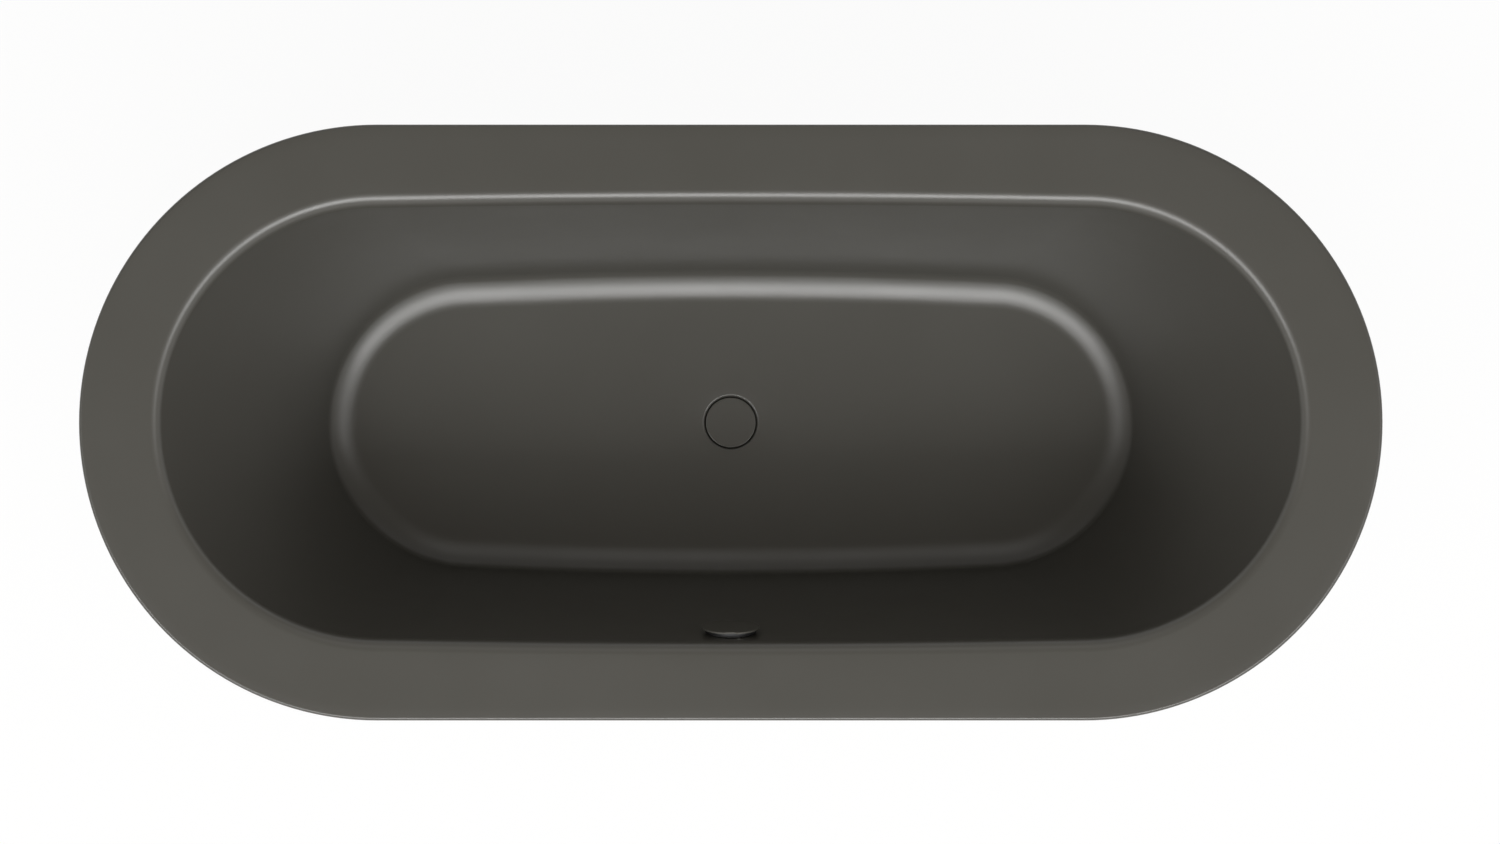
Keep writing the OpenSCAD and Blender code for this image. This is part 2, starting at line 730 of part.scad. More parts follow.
// Rod that the cable pulls, with a slotted eye over the crank pin.
module pull_rod() {
    eye = [3, 9, 9];
    eye_root = 0.5;
    slot = 2 * (crank_pin_r + apart);
    slot_rise = 1.4;
    rod_start_y = rod_y - eye[1] / 2 + eye_root;
    eye_x = crank_x + crank_t + apart;
    color(zinc) difference() {
        union() {
            translate([eye_x + eye[0] / 2, rod_y, rod_z]) cube(eye, center = true);
            translate([rod_x, rod_start_y, rod_z]) rotate([90, 0, 0])
                cylinder(r = rod_r, h = rod_start_y - rod_end_y);
        }
        translate([eye_x + eye[0] / 2, rod_y, rod_z])
            cube([eye[0] + 1, slot, slot + slot_rise], center = true);
    }
}

// ---- trap ----
module pipe(length) {
    difference() {
        cylinder(r = pipe_r, h = length);
        translate([0, 0, -1]) cylinder(r = pipe_r - pipe_t, h = length + 2);
    }
}

// Half a ring of pipe in the XZ plane, bowing down from the origin.
module pipe_turn(bend_r) {
    translate([bend_r, 0, 0]) rotate([-90, 0, 0]) rotate_extrude(angle = 180)
        translate([bend_r, 0]) difference() {
            circle(r = pipe_r);
            circle(r = pipe_r - pipe_t);
        }
}

module trap_bend() {
    color(plastic) {
        translate([0, 0, trap_turn_z]) pipe_turn(trap_r);
        translate([0, 0, trap_turn_z]) pipe(outlet_low - trap_turn_z);
        translate([2 * trap_r, 0, trap_turn_z]) pipe(joint_z - trap_turn_z);
    }
}

module outlet_bend() {
    color(plastic) translate([2 * trap_r, 0, 0]) {
        translate([0, 0, joint_z]) pipe(over_turn_z - joint_z);
        translate([0, 0, over_turn_z]) mirror([0, 0, 1]) pipe_turn(over_r);
        translate([2 * over_r, 0, outlet_end_z]) pipe(over_turn_z - outlet_end_z);
    }
}

module union_nut() {
    grip_r = 2.5;
    color(plastic) difference() {
        cylinder(r = union_r, h = union_h);
        translate([0, 0, -1]) cylinder(r = pipe_r + touch, h = union_h + 2);
        for (a = [0 : 30 : 330]) rotate([0, 0, a]) translate([union_r + 1, 0, -1])
            cylinder(r = grip_r, h = union_h + 2);
    }
}

module trap_nuts() {
    translate([0, 0, outlet_low - union_h / 2]) union_nut();
    translate([2 * trap_r, 0, joint_z - union_h / 2]) union_nut();
}

// ---- overflow ----
module overflow_knob() {
    r = knob_d / 2;
    round_r = 2.5;
    inner_top = knob_face - knob_top_t;
    boss_r = 7;
    color(enamel) at_overflow() difference() {
        union() {
            rotate_extrude() polygon(concat(
                [[r - knob_wall, knob_low], [r, knob_low]],
                [for (t = [0 : 15 : 90]) [r - round_r + round_r * cos(t),
                    knob_face - round_r + round_r * sin(t)]],
                [[0, knob_face], [0, inner_top], [r - knob_wall, inner_top]]));
            translate([0, 0, plate_low + plate_t + apart])
                cylinder(r = boss_r, h = inner_top - plate_low - plate_t - apart);
        }
        for (side = side_signs) translate([0, side * (r + scallop_r - scallop_in), knob_low - 1])
            cylinder(r = scallop_r, h = cutter);
        translate([0, 0, knob_low - 1]) cylinder(r = spindle_r + fit, h = inner_top - knob_low);
    }
}

module knob_spindle() {
    low = bowl_low + bowl_wall - bearing_depth;
    top = knob_face - knob_top_t - 1.2;
    spool_l = 8;
    cheek_t = 1;
    cheek_r = spool_r + 4;
    color(zinc) at_overflow() {
        translate([0, 0, low]) cylinder(r = spindle_r, h = top - low);
        translate([0, 0, spigot_out - spool_l / 2]) cylinder(r = spool_r, h = spool_l);
        for (z = [-spool_l / 2 - cheek_t, spool_l / 2]) translate([0, 0, spigot_out + z])
            cylinder(r = cheek_r, h = cheek_t);
    }
}

// Clamping plate inside the basin, with the spindle's bearing and the
// slots that the water runs through.
module overflow_plate() {
    drain_r = 3.5;
    drain_pitch = 9;
    drain_y = 12;
    screw_play = 0.2;
    color(zinc) at_overflow() translate([0, 0, plate_low]) difference() {
        cylinder(r = plate_r, h = plate_t);
        translate([0, 0, -1]) cylinder(r = spindle_r + fit, h = plate_t + 2);
        for (x = side_signs) translate([x * screw_x, 0, -1])
            cylinder(r = screw_r + screw_play, h = plate_t + 2);
        for (y = side_signs, x = [-1 : 1]) translate([x * drain_pitch, y * drain_y, -1])
            cylinder(r = drain_r, h = plate_t + 2);
    }
}

module plate_gasket() {
    color(black_rubber) at_overflow() translate([0, 0, touch]) difference() {
        cylinder(r = plate_r - 1, h = plate_low - touch);
        translate([0, 0, -1]) cylinder(r = overflow_hole_r, h = cutter);
    }
}

module plate_screws() {
    head_h = 2.6;
    head_r = 4.2;
    low = bowl_top - 16;
    top = plate_low + plate_t;
    color(zinc) at_overflow() for (x = side_signs) translate([x * screw_x, 0, 0]) {
        translate([0, 0, low]) cylinder(r = screw_r, h = top - low);
        translate([0, 0, top]) cylinder(r = head_r, h = head_h);
    }
}

module overflow_gasket() {
    color(black_rubber) at_overflow() translate([0, 0, bowl_top]) difference() {
        cylinder(r = bowl_r + 3, h = overflow_gasket_t);
        translate([0, 0, -1]) cylinder(r = overflow_hole_r, h = cutter);
    }
}

// Bowl behind the wall, with screw posts, the spindle's end bearing, the
// hose spigot and the cable gland.
module overflow_body() {
    collar_w = 4;
    collar_h = 4;
    post_r = screw_r + 2.5;
    post_short = 3;
    bearing_r = spindle_r + bearing_wall;
    bearing_h = bowl_wall + 4;
    color(plastic) at_overflow() difference() {
        union() {
            translate([0, 0, bowl_low]) cylinder(r = bowl_r, h = bowl_top - bowl_low);
            translate([0, 0, bowl_top - collar_h]) cylinder(r = bowl_r + collar_w, h = collar_h);
            translate([0, 0, spigot_out]) rotate([-90, 0, 0]) cylinder(r = hose_r, h = spigot_reach);
            translate([gland_x, 0, spigot_out]) rotate([-90, 0, 0])
                cylinder(r = gland_r, h = bowl_r);
        }
        difference() {
            translate([0, 0, bowl_low + bowl_wall]) cylinder(r = bowl_r - bowl_wall, h = cutter);
            for (x = side_signs) translate([x * screw_x, 0, bowl_low])
                cylinder(r = post_r, h = bowl_top - bowl_low - post_short);
            translate([0, 0, bowl_low]) cylinder(r = bearing_r, h = bearing_h);
        }
        for (x = side_signs) translate([x * screw_x, 0, bowl_low + bowl_wall])
            cylinder(r = screw_r + fit, h = cutter);
        translate([0, 0, bowl_low + bowl_wall - bearing_depth - fit])
            cylinder(r = spindle_r + fit, h = cutter);
        translate([0, spigot_mouth, spigot_out]) rotate([-90, 0, 0])
            cylinder(r = hose_r - hose_t, h = spigot_reach - spigot_mouth + 1);
    }
}

// ---- hose: down behind the wall, round the basin's foot and to the port ----
hose_start = overflow_point(0, spigot_reach, spigot_out);
hose_bend_r = 100;
hose_drop = hose_start[2] - port_z - hose_bend_r * (1 - sin(side_lean));
hose_slant = hose_drop / cos(side_lean);
hose_turn_y = hose_start[1] + hose_slant * sin(side_lean) + hose_bend_r * cos(side_lean);

hose_sides = 24;
hose_arc_steps = 12;

// A ring of points square to the direction "ahead".
function tube_ring(centre, ahead, r, sides) =
    let (across = unit(cross([1, 0, 0], ahead)), beside = cross(ahead, across))
    [for (s = [0 : sides - 1])
        centre + r * (across * cos(360 * s / sides) + beside * sin(360 * s / sides))];

// The hose's heading turns from down the wall to level.
function hose_heading(i) = side_lean + (90 - side_lean) * i / hose_arc_steps;
function hose_ahead(t) = [0, sin(t), -cos(t)];
function hose_arc_point(t) =
    [0, hose_turn_y - hose_bend_r * cos(t), port_z + hose_bend_r * (1 - sin(t))];

module overflow_hose() {
    color(plastic) ring_rod(concat(
        [tube_ring(hose_start, hose_ahead(side_lean), hose_r, hose_sides)],
        [for (i = [0 : hose_arc_steps]) let (t = hose_heading(i))
            tube_ring(hose_arc_point(t), hose_ahead(t), hose_r, hose_sides)],
        [tube_ring([0, -port_len, port_z], hose_ahead(90), hose_r, hose_sides)]));
}

module hose_collar() {
    color(plastic) translate([0, 0, -collar_l / 2]) difference() {
        cylinder(r = hose_r + collar_t, h = collar_l);
        translate([0, 0, -1]) cylinder(r = hose_r + touch, h = collar_l + 2);
    }
}

module hose_collars() {
    at_overflow() translate([0, spigot_reach, spigot_out]) rotate([-90, 0, 0]) hose_collar();
    translate([0, -port_len - 1, port_z]) rotate([90, 0, 0]) hose_collar();
}

// ---- control cable, from the gland to the stop on the waste body ----
gland_end = overflow_point(gland_x, bowl_r, spigot_out);
cable_stop = [rod_x, stop_y, rod_z];
cable_steps = 6;
cable_route = [
    gland_end,
    gland_end + [0, 10, -45],
    gland_end + [1, 33, -150],
    [37, -250, 290],
    [38, -222, 205],
    [rod_x, -170, 160],
    cable_stop + [0, -50, 0],
    cable_stop];
function spline(p, i, t) =
    let (
        a = p[max(i - 1, 0)], b = p[i], c = p[i + 1], d = p[min(i + 2, len(p) - 1)],
        t2 = t * t, t3 = t2 * t
    )
    0.5 * (2 * b + (c - a) * t + (2 * a - 5 * b + 4 * c - d) * t2 + (3 * b - a - 3 * c + d) * t3);
cable_points = concat(
    [for (i = [0 : len(cable_route) - 2], s = [0 : cable_steps - 1])
        spline(cable_route, i, s / cable_steps)],
    [cable_stop]);
function cable_ahead(i) =
    i == 0 ? hose_ahead(side_lean)
    : i == len(cable_points) - 1 ? hose_ahead(90)
    : unit(cable_points[i + 1] - cable_points[i - 1]);

// Skins an open run of rings and closes both ends.
module ring_rod(rings) {
    n = len(rings[0]);
    m = len(rings);
    sides = [for (j = [0 : m - 2], k = [0 : n - 1])
        [j * n + k, j * n + (k + 1) % n, (j + 1) * n + (k + 1) % n, (j + 1) * n + k]];
    first = [for (k = [n - 1 : -1 : 0]) k];
    last = [for (k = [0 : n - 1]) (m - 1) * n + k];
    polyhedron(points = [for (ring = rings) each ring], faces = concat([first], sides, [last]));
}

module control_cable() {
    color(plastic) ring_rod([for (i = [0 : len(cable_points) - 1])
        tube_ring(cable_points[i], cable_ahead(i), cable_r, 8)]);
}

tub_shell();
skirt();
rim_foam();
skirt_edge_trim();
sound_mats();
base_frame();
tube_end_caps();
saddle_pads();
skirt_brackets();
bracket_bolts();
threaded_bushes();
lock_nuts();
foot_stud(0);  // foot_stud_1
foot_stud(1);  // foot_stud_2
foot_stud(2);  // foot_stud_3
foot_stud(3);  // foot_stud_4
foot_pad(0);  // foot_pad_1
foot_pad(1);  // foot_pad_2
foot_pad(2);  // foot_pad_3
foot_pad(3);  // foot_pad_4
earth_lug();
earth_screw();
plug_cover();
plug_seal();
plug_stem();
waste_flange();
flange_gasket();
waste_gasket();
waste_body();
lift_pin();
lift_lever();
pull_rod();
trap_nuts();
trap_bend();
outlet_bend();
overflow_knob();
knob_spindle();
overflow_plate();
plate_gasket();
plate_screws();
overflow_gasket();
overflow_body();
hose_collars();
overflow_hose();
control_cable();
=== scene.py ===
"""Freestanding bathtub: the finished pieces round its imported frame.

Every length is in metres. +X runs along the tub, +Z is up, and the overflow
is on the -Y side. The frame gives the places; the panel gives the finishes.
"""

import json
import math

import bpy
from bpy.props import FloatProperty, FloatVectorProperty, PointerProperty
from mathutils import Matrix, Vector


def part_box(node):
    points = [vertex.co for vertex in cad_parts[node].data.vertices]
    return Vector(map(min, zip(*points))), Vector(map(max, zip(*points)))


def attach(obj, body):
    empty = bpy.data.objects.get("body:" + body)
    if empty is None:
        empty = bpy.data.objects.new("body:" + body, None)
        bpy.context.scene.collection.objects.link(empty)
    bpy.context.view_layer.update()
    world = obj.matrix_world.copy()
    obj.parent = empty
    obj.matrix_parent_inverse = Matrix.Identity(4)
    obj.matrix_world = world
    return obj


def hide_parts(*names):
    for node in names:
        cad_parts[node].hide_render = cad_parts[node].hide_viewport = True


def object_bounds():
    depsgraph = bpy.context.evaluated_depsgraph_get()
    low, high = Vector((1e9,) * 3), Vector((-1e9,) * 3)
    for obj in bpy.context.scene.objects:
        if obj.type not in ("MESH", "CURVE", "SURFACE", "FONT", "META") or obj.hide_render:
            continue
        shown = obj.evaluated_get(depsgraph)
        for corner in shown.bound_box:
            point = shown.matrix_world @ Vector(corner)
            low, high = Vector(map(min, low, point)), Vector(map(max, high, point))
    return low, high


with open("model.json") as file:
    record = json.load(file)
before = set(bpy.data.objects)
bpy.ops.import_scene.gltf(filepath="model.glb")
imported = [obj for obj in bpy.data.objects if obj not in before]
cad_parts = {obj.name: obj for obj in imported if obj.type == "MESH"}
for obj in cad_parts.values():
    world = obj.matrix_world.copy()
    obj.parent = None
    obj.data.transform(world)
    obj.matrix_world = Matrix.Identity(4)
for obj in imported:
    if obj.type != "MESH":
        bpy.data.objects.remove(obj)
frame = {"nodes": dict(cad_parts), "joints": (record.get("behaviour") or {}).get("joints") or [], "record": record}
cad_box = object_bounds()

bl_info = {
    "name": "Freestanding Bathtub",
    "version": (1, 0, 0),
    "blender": (4, 5, 0),
    "location": "View3D > Sidebar > Bathtub",
    "description": "Models and finishes a freestanding steel bathtub",
    "category": "Object",
}

MM = 0.001
BODY_OF = {
    node: body
    for body, nodes in frame["record"]["behaviour"]["bodies"].items()
    for node in nodes
}
KNOB_JOINT = next(j for j in frame["joints"] if j["name"] == "knob_turn")
OVERFLOW = Vector(KNOB_JOINT["pos_m"])
OVERFLOW_AXIS = Vector(KNOB_JOINT["axis"]).normalized()
SIDE_LEAN = math.asin(OVERFLOW_AXIS.z)
DOWN_WALL = Vector((0, math.sin(SIDE_LEAN), -math.cos(SIDE_LEAN)))
OVERFLOW_PLACE = Matrix.Translation(OVERFLOW) @ Matrix(
    (Vector((1, 0, 0)), DOWN_WALL, OVERFLOW_AXIS)
).transposed().to_4x4()


def hex_colour(code):
    """An sRGB hex value as a linear colour with alpha."""
    parts = [int(code[i : i + 2], 16) / 255 for i in (1, 3, 5)]
    linear = [c / 12.92 if c <= 0.04045 else ((c + 0.055) / 1.055) ** 2.4 for c in parts]
    return (*linear, 1)


def length(name, description, default, low=0.0):
    """A length property with its unit."""
    return FloatProperty(
        name=name, description=description, default=default, min=low, unit="LENGTH", precision=4
    )


def colour(name, description, code):
    """A colour property from its hex value."""
    return FloatVectorProperty(
        name=name, description=description, size=4, subtype="COLOR",
        default=hex_colour(code), min=0, max=1,
    )


class TubSizes(bpy.types.PropertyGroup):
    """Sizes of the pressed tub and its skirt"""

    depth: length("Basin Depth", "From the rim to the basin floor", 0.42)
    sheet: length("Sheet", "Thickness of the enamelled sheet", 0.0035)
    rim_side: length("Rim Side", "Rim width at the long sides, to the wall plane", 0.104)
    rim_end: length("Rim End", "Rim width at the ends, to the wall plane", 0.1054)
    mouth_bow: length("Mouth Bow", "Bow of the long walls at the rim", 0.0045)
    floor_bow: length("Floor Bow", "Bow of the long walls at the floor", 0.009)
    end_lean: FloatProperty(
        name="End Lean", description="Lean of the back rests from upright",
        default=math.radians(29.6), subtype="ANGLE",
    )
    rim_round: length("Rim Round", "Radius from the rim into the basin", 0.022)
    floor_round: length("Floor Round", "Mean radius from the walls to the floor", 0.05)
    edge_round: length("Edge Round", "Radius of the rim's outer edge", 0.004)
    lip: length("Lip", "Height of the folded lip", 0.03)
    recess: length("Recess", "Depth of the recess under the plug", 0.008)
    recess_round: length("Recess Round", "Radius of the recess edges", 0.0039)
    plug_gap: length("Plug Gap", "Gap round the plug cover", 0.0011)
    waste_hole: length("Waste Hole", "Radius of the waste hole", 0.026)
    overflow_hole: length("Overflow Hole", "Radius of the overflow hole", 0.024)
    skirt_sheet: length("Skirt Sheet", "Thickness of the skirt sheet", 0.002)
    skirt_flange: length("Skirt Flange", "Width of the skirt's flanges", 0.018)


class FittingSizes(bpy.types.PropertyGroup):
    """Sizes of the knob, the plug and the hose"""

    knob_edge: length("Knob Edge", "Rounding of the knob's front edge", 0.0012)
    drum_in: length("Drum Inset", "How far the knob's drum stands in from its face", 0.0045)
    knob_wall: length("Knob Wall", "Wall of the hollow drum", 0.003)
    knob_top: length("Knob Top", "Thickness of the knob's face", 0.0023)
    scallop: length("Scallop", "Radius of the two finger scallops", 0.016)
    scallop_in: length("Scallop Depth", "How far the scallops cut in", 0.004)
    plug_edge: length("Plug Edge", "Rounding of the plug cover's edge", 0.001)
    rib_pitch: length("Rib Pitch", "Distance between the hose's ribs", 0.0045)
    rib_depth: length("Rib Depth", "Depth of the grooves between ribs", 0.0018)
    hardware_edge: length("Hardware Edge", "Broken edge of frame and metal parts", 0.0006)


class Finishes(bpy.types.PropertyGroup):
    """Colours of the finishes"""

    enamel: colour("Enamel", "Satin vitreous enamel", "#464541")
    knob: colour("Knob", "Matt lacquer of the turn knob", "#484742")
    frame_coat: colour("Frame Coat", "Powder coat of the frame", "#26282A")
    polypropylene: colour("Polypropylene", "Moulded waste fittings", "#1F2022")
    hose: colour("Hose", "Ribbed hose", "#5E6063")
    rubber: colour("Rubber", "Pads, seals and trims", "#18181A")
    bitumen: colour("Bitumen", "Sound mats", "#1B1A19")
    zinc: colour("Zinc", "Zinc plated steel", "#C9CDCF")
    stainless: colour("Stainless", "Brushed stainless steel", "#D2D0CC")


class StageSettings(bpy.types.PropertyGroup):
    """Camera, light and floor"""

    floor: colour("Floor", "Pale studio floor", "#F2F2F0")
    bounce: colour("Bounce", "Warm white of the even light", "#FFF6E8")
    view_width: length("View Width", "Width that the camera takes in", 2.0136)
    camera_x: length("Camera X", "Camera's place along the tub", 0.0258, -10)
    camera_y: length("Camera Y", "Camera's place across the tub", 0.0007, -10)
    key_power: FloatProperty(
        name="Key", description="Power of the middle softbox", default=350, unit="POWER"
    )
    key_angle: FloatProperty(
        name="Key Angle", description="Softboxes from straight above, towards the overflow side",
        default=math.radians(42), subtype="ANGLE",
    )
    reach: length("Reach", "Distance from the rim to the softboxes", 9.0)
    ambient: FloatProperty(name="Ambient", description="Even light from all round", default=0.25)


# ---------------------------------------------------------------- materials


def add_node(tree, kind, inputs=None, **settings):
    """Adds a node; an input is given as a value, or as the socket that feeds it."""
    node = tree.nodes.new(kind)
    for name, value in settings.items():
        setattr(node, name, value)
    for name, value in (inputs or {}).items():
        if isinstance(value, bpy.types.NodeSocket):
            tree.links.new(value, node.inputs[name])
        else:
            node.inputs[name].default_value = value
    return node


def new_material(name, **shader):
    """A material with its tree, its shader and the Object coordinates."""
    material = bpy.data.materials.new(name)
    material.use_nodes = True
    tree = material.node_tree
    bsdf = tree.nodes["Principled BSDF"]
    for socket, value in shader.items():
        bsdf.inputs[socket.replace("_", " ")].default_value = value
    place = add_node(tree, "ShaderNodeTexCoord").outputs["Object"]
    return material, tree, bsdf, place


def noise(tree, place, size, detail=2.0):
    """Noise whose features are about "size" metres across."""
    return add_node(
        tree, "ShaderNodeTexNoise", {"Vector": place, "Scale": 1 / size, "Detail": detail}
    )


def shades(tree, factor, base, spread):
    """Two shades of one colour, "spread" apart, mixed by a pattern."""
    low = (*[c * (1 - spread) for c in base[:3]], 1)
    high = (*[min(1, c * (1 + spread)) for c in base[:3]], 1)
    return add_node(
        tree, "ShaderNodeMix", {"Factor": factor, "A": low, "B": high}, data_type="RGBA"
    ).outputs["Result"]


def spread_over(tree, factor, low, high):
    """Maps a pattern to the range from low to high."""
    return add_node(
        tree, "ShaderNodeMapRange", {"Value": factor, "From Min": 0.3, "From Max": 0.7,
        "To Min": low, "To Max": high},
    ).outputs["Result"]


def raise_by(tree, bsdf, height, depth, strength=1.0, under=None):
    """Bump of the given depth in metres; "under" is a bump that it lies on."""
    inputs = {"Height": height, "Distance": depth, "Strength": strength}
    if under:
        inputs["Normal"] = under
    bump = add_node(tree, "ShaderNodeBump", inputs).outputs["Normal"]
    tree.links.new(bump, bsdf.inputs["Normal"])
    return bump


def vitreous_enamel(colours):
    """Fired satin enamel on steel: an even, dense coat with a soft sheen,
    a faint orange peel and a slow waviness left by the pressed sheet."""
    peel_size, wave_size, cloud_size = 7 * MM, 160 * MM, 55 * MM
    material, tree, bsdf, place = new_material("satin_vitreous_enamel", IOR=1.62, Roughness=0.32)
    cloud = noise(tree, place, cloud_size, 4)
    tree.links.new(
        shades(tree, cloud.outputs["Fac"], colours.enamel, 0.03), bsdf.inputs["Base Color"]
    )
    tree.links.new(
        spread_over(tree, noise(tree, place, wave_size).outputs["Fac"], 0.30, 0.34),
        bsdf.inputs["Roughness"],
    )
    wave = raise_by(tree, bsdf, noise(tree, place, wave_size).outputs["Fac"], 0.25 * MM)
    raise_by(tree, bsdf, noise(tree, place, peel_size).outputs["Fac"], 0.012 * MM, under=wave)
    return material


def matt_lacquer(colours):
    """Moulded ABS with a soft-touch lacquer in the tub's colour: matt, with a
    fine dry grain, so it takes a broad and weak highlight."""
    grain = 0.9 * MM
    material, tree, bsdf, place = new_material("matt_lacquered_abs", IOR=1.45)
    dry = noise(tree, place, grain, 3).outputs["Fac"]
    tree.links.new(shades(tree, dry, colours.knob, 0.06), bsdf.inputs["Base Color"])
    tree.links.new(spread_over(tree, dry, 0.6, 0.7), bsdf.inputs["Roughness"])
    raise_by(tree, bsdf, dry, 0.02 * MM)
    return material


def powder_coat(colours):
    """Polyester powder coat: a matt film with a fine pebbled texture."""
    grit = 1.5 * MM
    material, tree, bsdf, place = new_material("powder_coated_steel", IOR=1.5)
    pebble = noise(tree, place, grit, 3).outputs["Fac"]
    tree.links.new(shades(tree, pebble, colours.frame_coat, 0.12), bsdf.inputs["Base Color"])
    tree.links.new(spread_over(tree, pebble, 0.5, 0.62), bsdf.inputs["Roughness"])
    raise_by(tree, bsdf, pebble, 0.08 * MM)
    return material


def moulded_polypropylene(colours):
    """Injection moulded polypropylene: spark-eroded texture with a low sheen."""
    grain = 1.2 * MM
    material, tree, bsdf, place = new_material("moulded_polypropylene", IOR=1.49)
    texture = noise(tree, place, grain, 3).outputs["Fac"]
    flow = noise(tree, place, 30 * MM).outputs["Fac"]
    tree.links.new(shades(tree, flow, colours.polypropylene, 0.15), bsdf.inputs["Base Color"])
    tree.links.new(spread_over(tree, flow, 0.42, 0.55), bsdf.inputs["Roughness"])
    raise_by(tree, bsdf, texture, 0.05 * MM)
    return material


def extruded_hose(colours):
    """Extruded and corrugated polypropylene: slightly waxy, lighter on the ribs."""
    material, tree, bsdf, place = new_material("corrugated_polypropylene", IOR=1.49)
    scuff = noise(tree, place, 12 * MM, 5).outputs["Fac"]
    tree.links.new(shades(tree, scuff, colours.hose, 0.12), bsdf.inputs["Base Color"])
    tree.links.new(spread_over(tree, scuff, 0.35, 0.5), bsdf.inputs["Roughness"])
    raise_by(tree, bsdf, scuff, 0.05 * MM)
    return material


def moulded_rubber(colours):
    """Moulded EPDM: a dry, chalky black with a very soft highlight."""
    material, tree, bsdf, place = new_material("moulded_epdm_rubber", IOR=1.52)
    bloom = noise(tree, place, 9 * MM, 5).outputs["Fac"]
    tree.links.new(shades(tree, bloom, colours.rubber, 0.25), bsdf.inputs["Base Color"])
    tree.links.new(spread_over(tree, bloom, 0.72, 0.85), bsdf.inputs["Roughness"])
    raise_by(tree, bsdf, noise(tree, place, 0.9 * MM, 3).outputs["Fac"], 0.06 * MM)
    return material


def bitumen_mat(colours):
    """Self-adhesive bitumen mat: a grainy, slightly tarry sheet."""
    material, tree, bsdf, place = new_material("bitumen_sound_mat", IOR=1.55)
    grain = noise(tree, place, 2 * MM, 6).outputs["Fac"]
    tree.links.new(shades(tree, grain, colours.bitumen, 0.3), bsdf.inputs["Base Color"])
    tree.links.new(spread_over(tree, grain, 0.6, 0.8), bsdf.inputs["Roughness"])
    raise_by(tree, bsdf, grain, 0.25 * MM)
    return material


def zinc_plate(colours):
    """Bright zinc plate on turned steel: a cool metal with a cloudy passivation."""
    material, tree, bsdf, place = new_material("zinc_plated_steel", Metallic=1.0)
    cloud = noise(tree, place, 6 * MM, 4).outputs["Fac"]
    tree.links.new(shades(tree, cloud, colours.zinc, 0.08), bsdf.inputs["Base Color"])
    tree.links.new(spread_over(tree, cloud, 0.28, 0.42), bsdf.inputs["Roughness"])
    raise_by(tree, bsdf, noise(tree, place, 0.8 * MM, 2).outputs["Fac"], 0.01 * MM)
    return material


def brushed_stainless(colours):
    """Brushed stainless steel: fine straight scratches along X."""
    scratch = 0.5 * MM
    material, tree, bsdf, place = new_material("brushed_stainless_steel", Metallic=1.0)
    along = add_node(tree, "ShaderNodeMapping", {"Vector": place, "Scale": (0.03, 1, 1)})
    line = noise(tree, along.outputs["Vector"], scratch, 3).outputs["Fac"]
    tree.links.new(shades(tree, line, colours.stainless, 0.06), bsdf.inputs["Base Color"])
    tree.links.new(spread_over(tree, line, 0.24, 0.38), bsdf.inputs["Roughness"])
    raise_by(tree, bsdf, line, 0.01 * MM)
    return material


MATERIAL_MAKERS = {
    "enamel": vitreous_enamel,
    "skirt_enamel": vitreous_enamel,
    "knob_lacquer": matt_lacquer,
    "frame_paint": powder_coat,
    "zinc": zinc_plate,
    "stainless": brushed_stainless,
    "rubber": moulded_rubber,
    "black_plastic": moulded_polypropylene,
    "hose_plastic": extruded_hose,
    "bitumen": bitumen_mat,
}
made_materials = {}


def finish_for(slot_name):
    """The material of a slot, made once for each maker."""
    maker = MATERIAL_MAKERS[slot_name]
    if maker not in made_materials:
        made_materials[maker] = maker(bpy.context.scene.tub_finishes)
    return made_materials[maker]


# ---------------------------------------------------------------- modelling


def select_only(piece):
    """Leaves one object selected and active."""
    bpy.ops.object.select_all(action="DESELECT")
    piece.select_set(True)
    bpy.context.view_layer.objects.active = piece


def in_edit_mode(piece, *steps):
    """Runs edit mode steps on the whole of a piece's mesh."""
    select_only(piece)
    bpy.ops.object.mode_set(mode="EDIT")
    bpy.ops.mesh.select_mode(type="VERT")
    bpy.ops.mesh.select_all(action="SELECT")
    for step in steps:
        step()
    bpy.ops.object.mode_set(mode="OBJECT")


def weld(distance=0.002 * MM):
    """A step that merges points in the same place."""
    return lambda: bpy.ops.mesh.remove_doubles(threshold=distance)


def turn_outwards():
    """A step that makes every face of a closed shell point outwards."""
    bpy.ops.mesh.normals_make_consistent(inside=False)


def close_ends():
    """A step that fills the open ends of a tube."""
    bpy.ops.mesh.fill_holes(sides=0)


def smooth(piece, degrees=35):
    """Smooth shading up to an angle."""
    select_only(piece)
    bpy.ops.object.shade_smooth_by_angle(angle=math.radians(degrees))


def apply_modifier(piece, kind, **settings):
    """Adds a modifier and applies it."""
    select_only(piece)
    modifier = piece.modifiers.new(kind.lower(), kind)
    for name, value in settings.items():
        setattr(modifier, name, value)
    bpy.ops.object.modifier_apply(modifier=modifier.name)


def settle(piece, place):
    """Puts a piece in its place, and the place in its mesh."""
    select_only(piece)
    piece.matrix_world = place
    bpy.ops.object.transform_apply(location=True, rotation=True, scale=True)


def bend_grid(name, rings, loop):
    """Bends a grid so that each row lies on a ring, and welds its seams.
    The tub's walls are ruled between different ovals, which no operator gives."""
    columns = len(rings[0])
    rows = rings + [rings[0]] if loop else rings
    bpy.ops.object.select_all(action="DESELECT")
    bpy.ops.mesh.primitive_grid_add(x_subdivisions=columns, y_subdivisions=len(rows) - 1, size=1)
    piece = bpy.context.object
    piece.name = piece.data.name = name
    points = [c for row in rows for i in range(columns + 1) for c in row[i % columns]]
    piece.data.vertices.foreach_set("co", points)
    in_edit_mode(piece, weld(), *([] if loop else [close_ends]), turn_outwards)
    smooth(piece)
    return piece


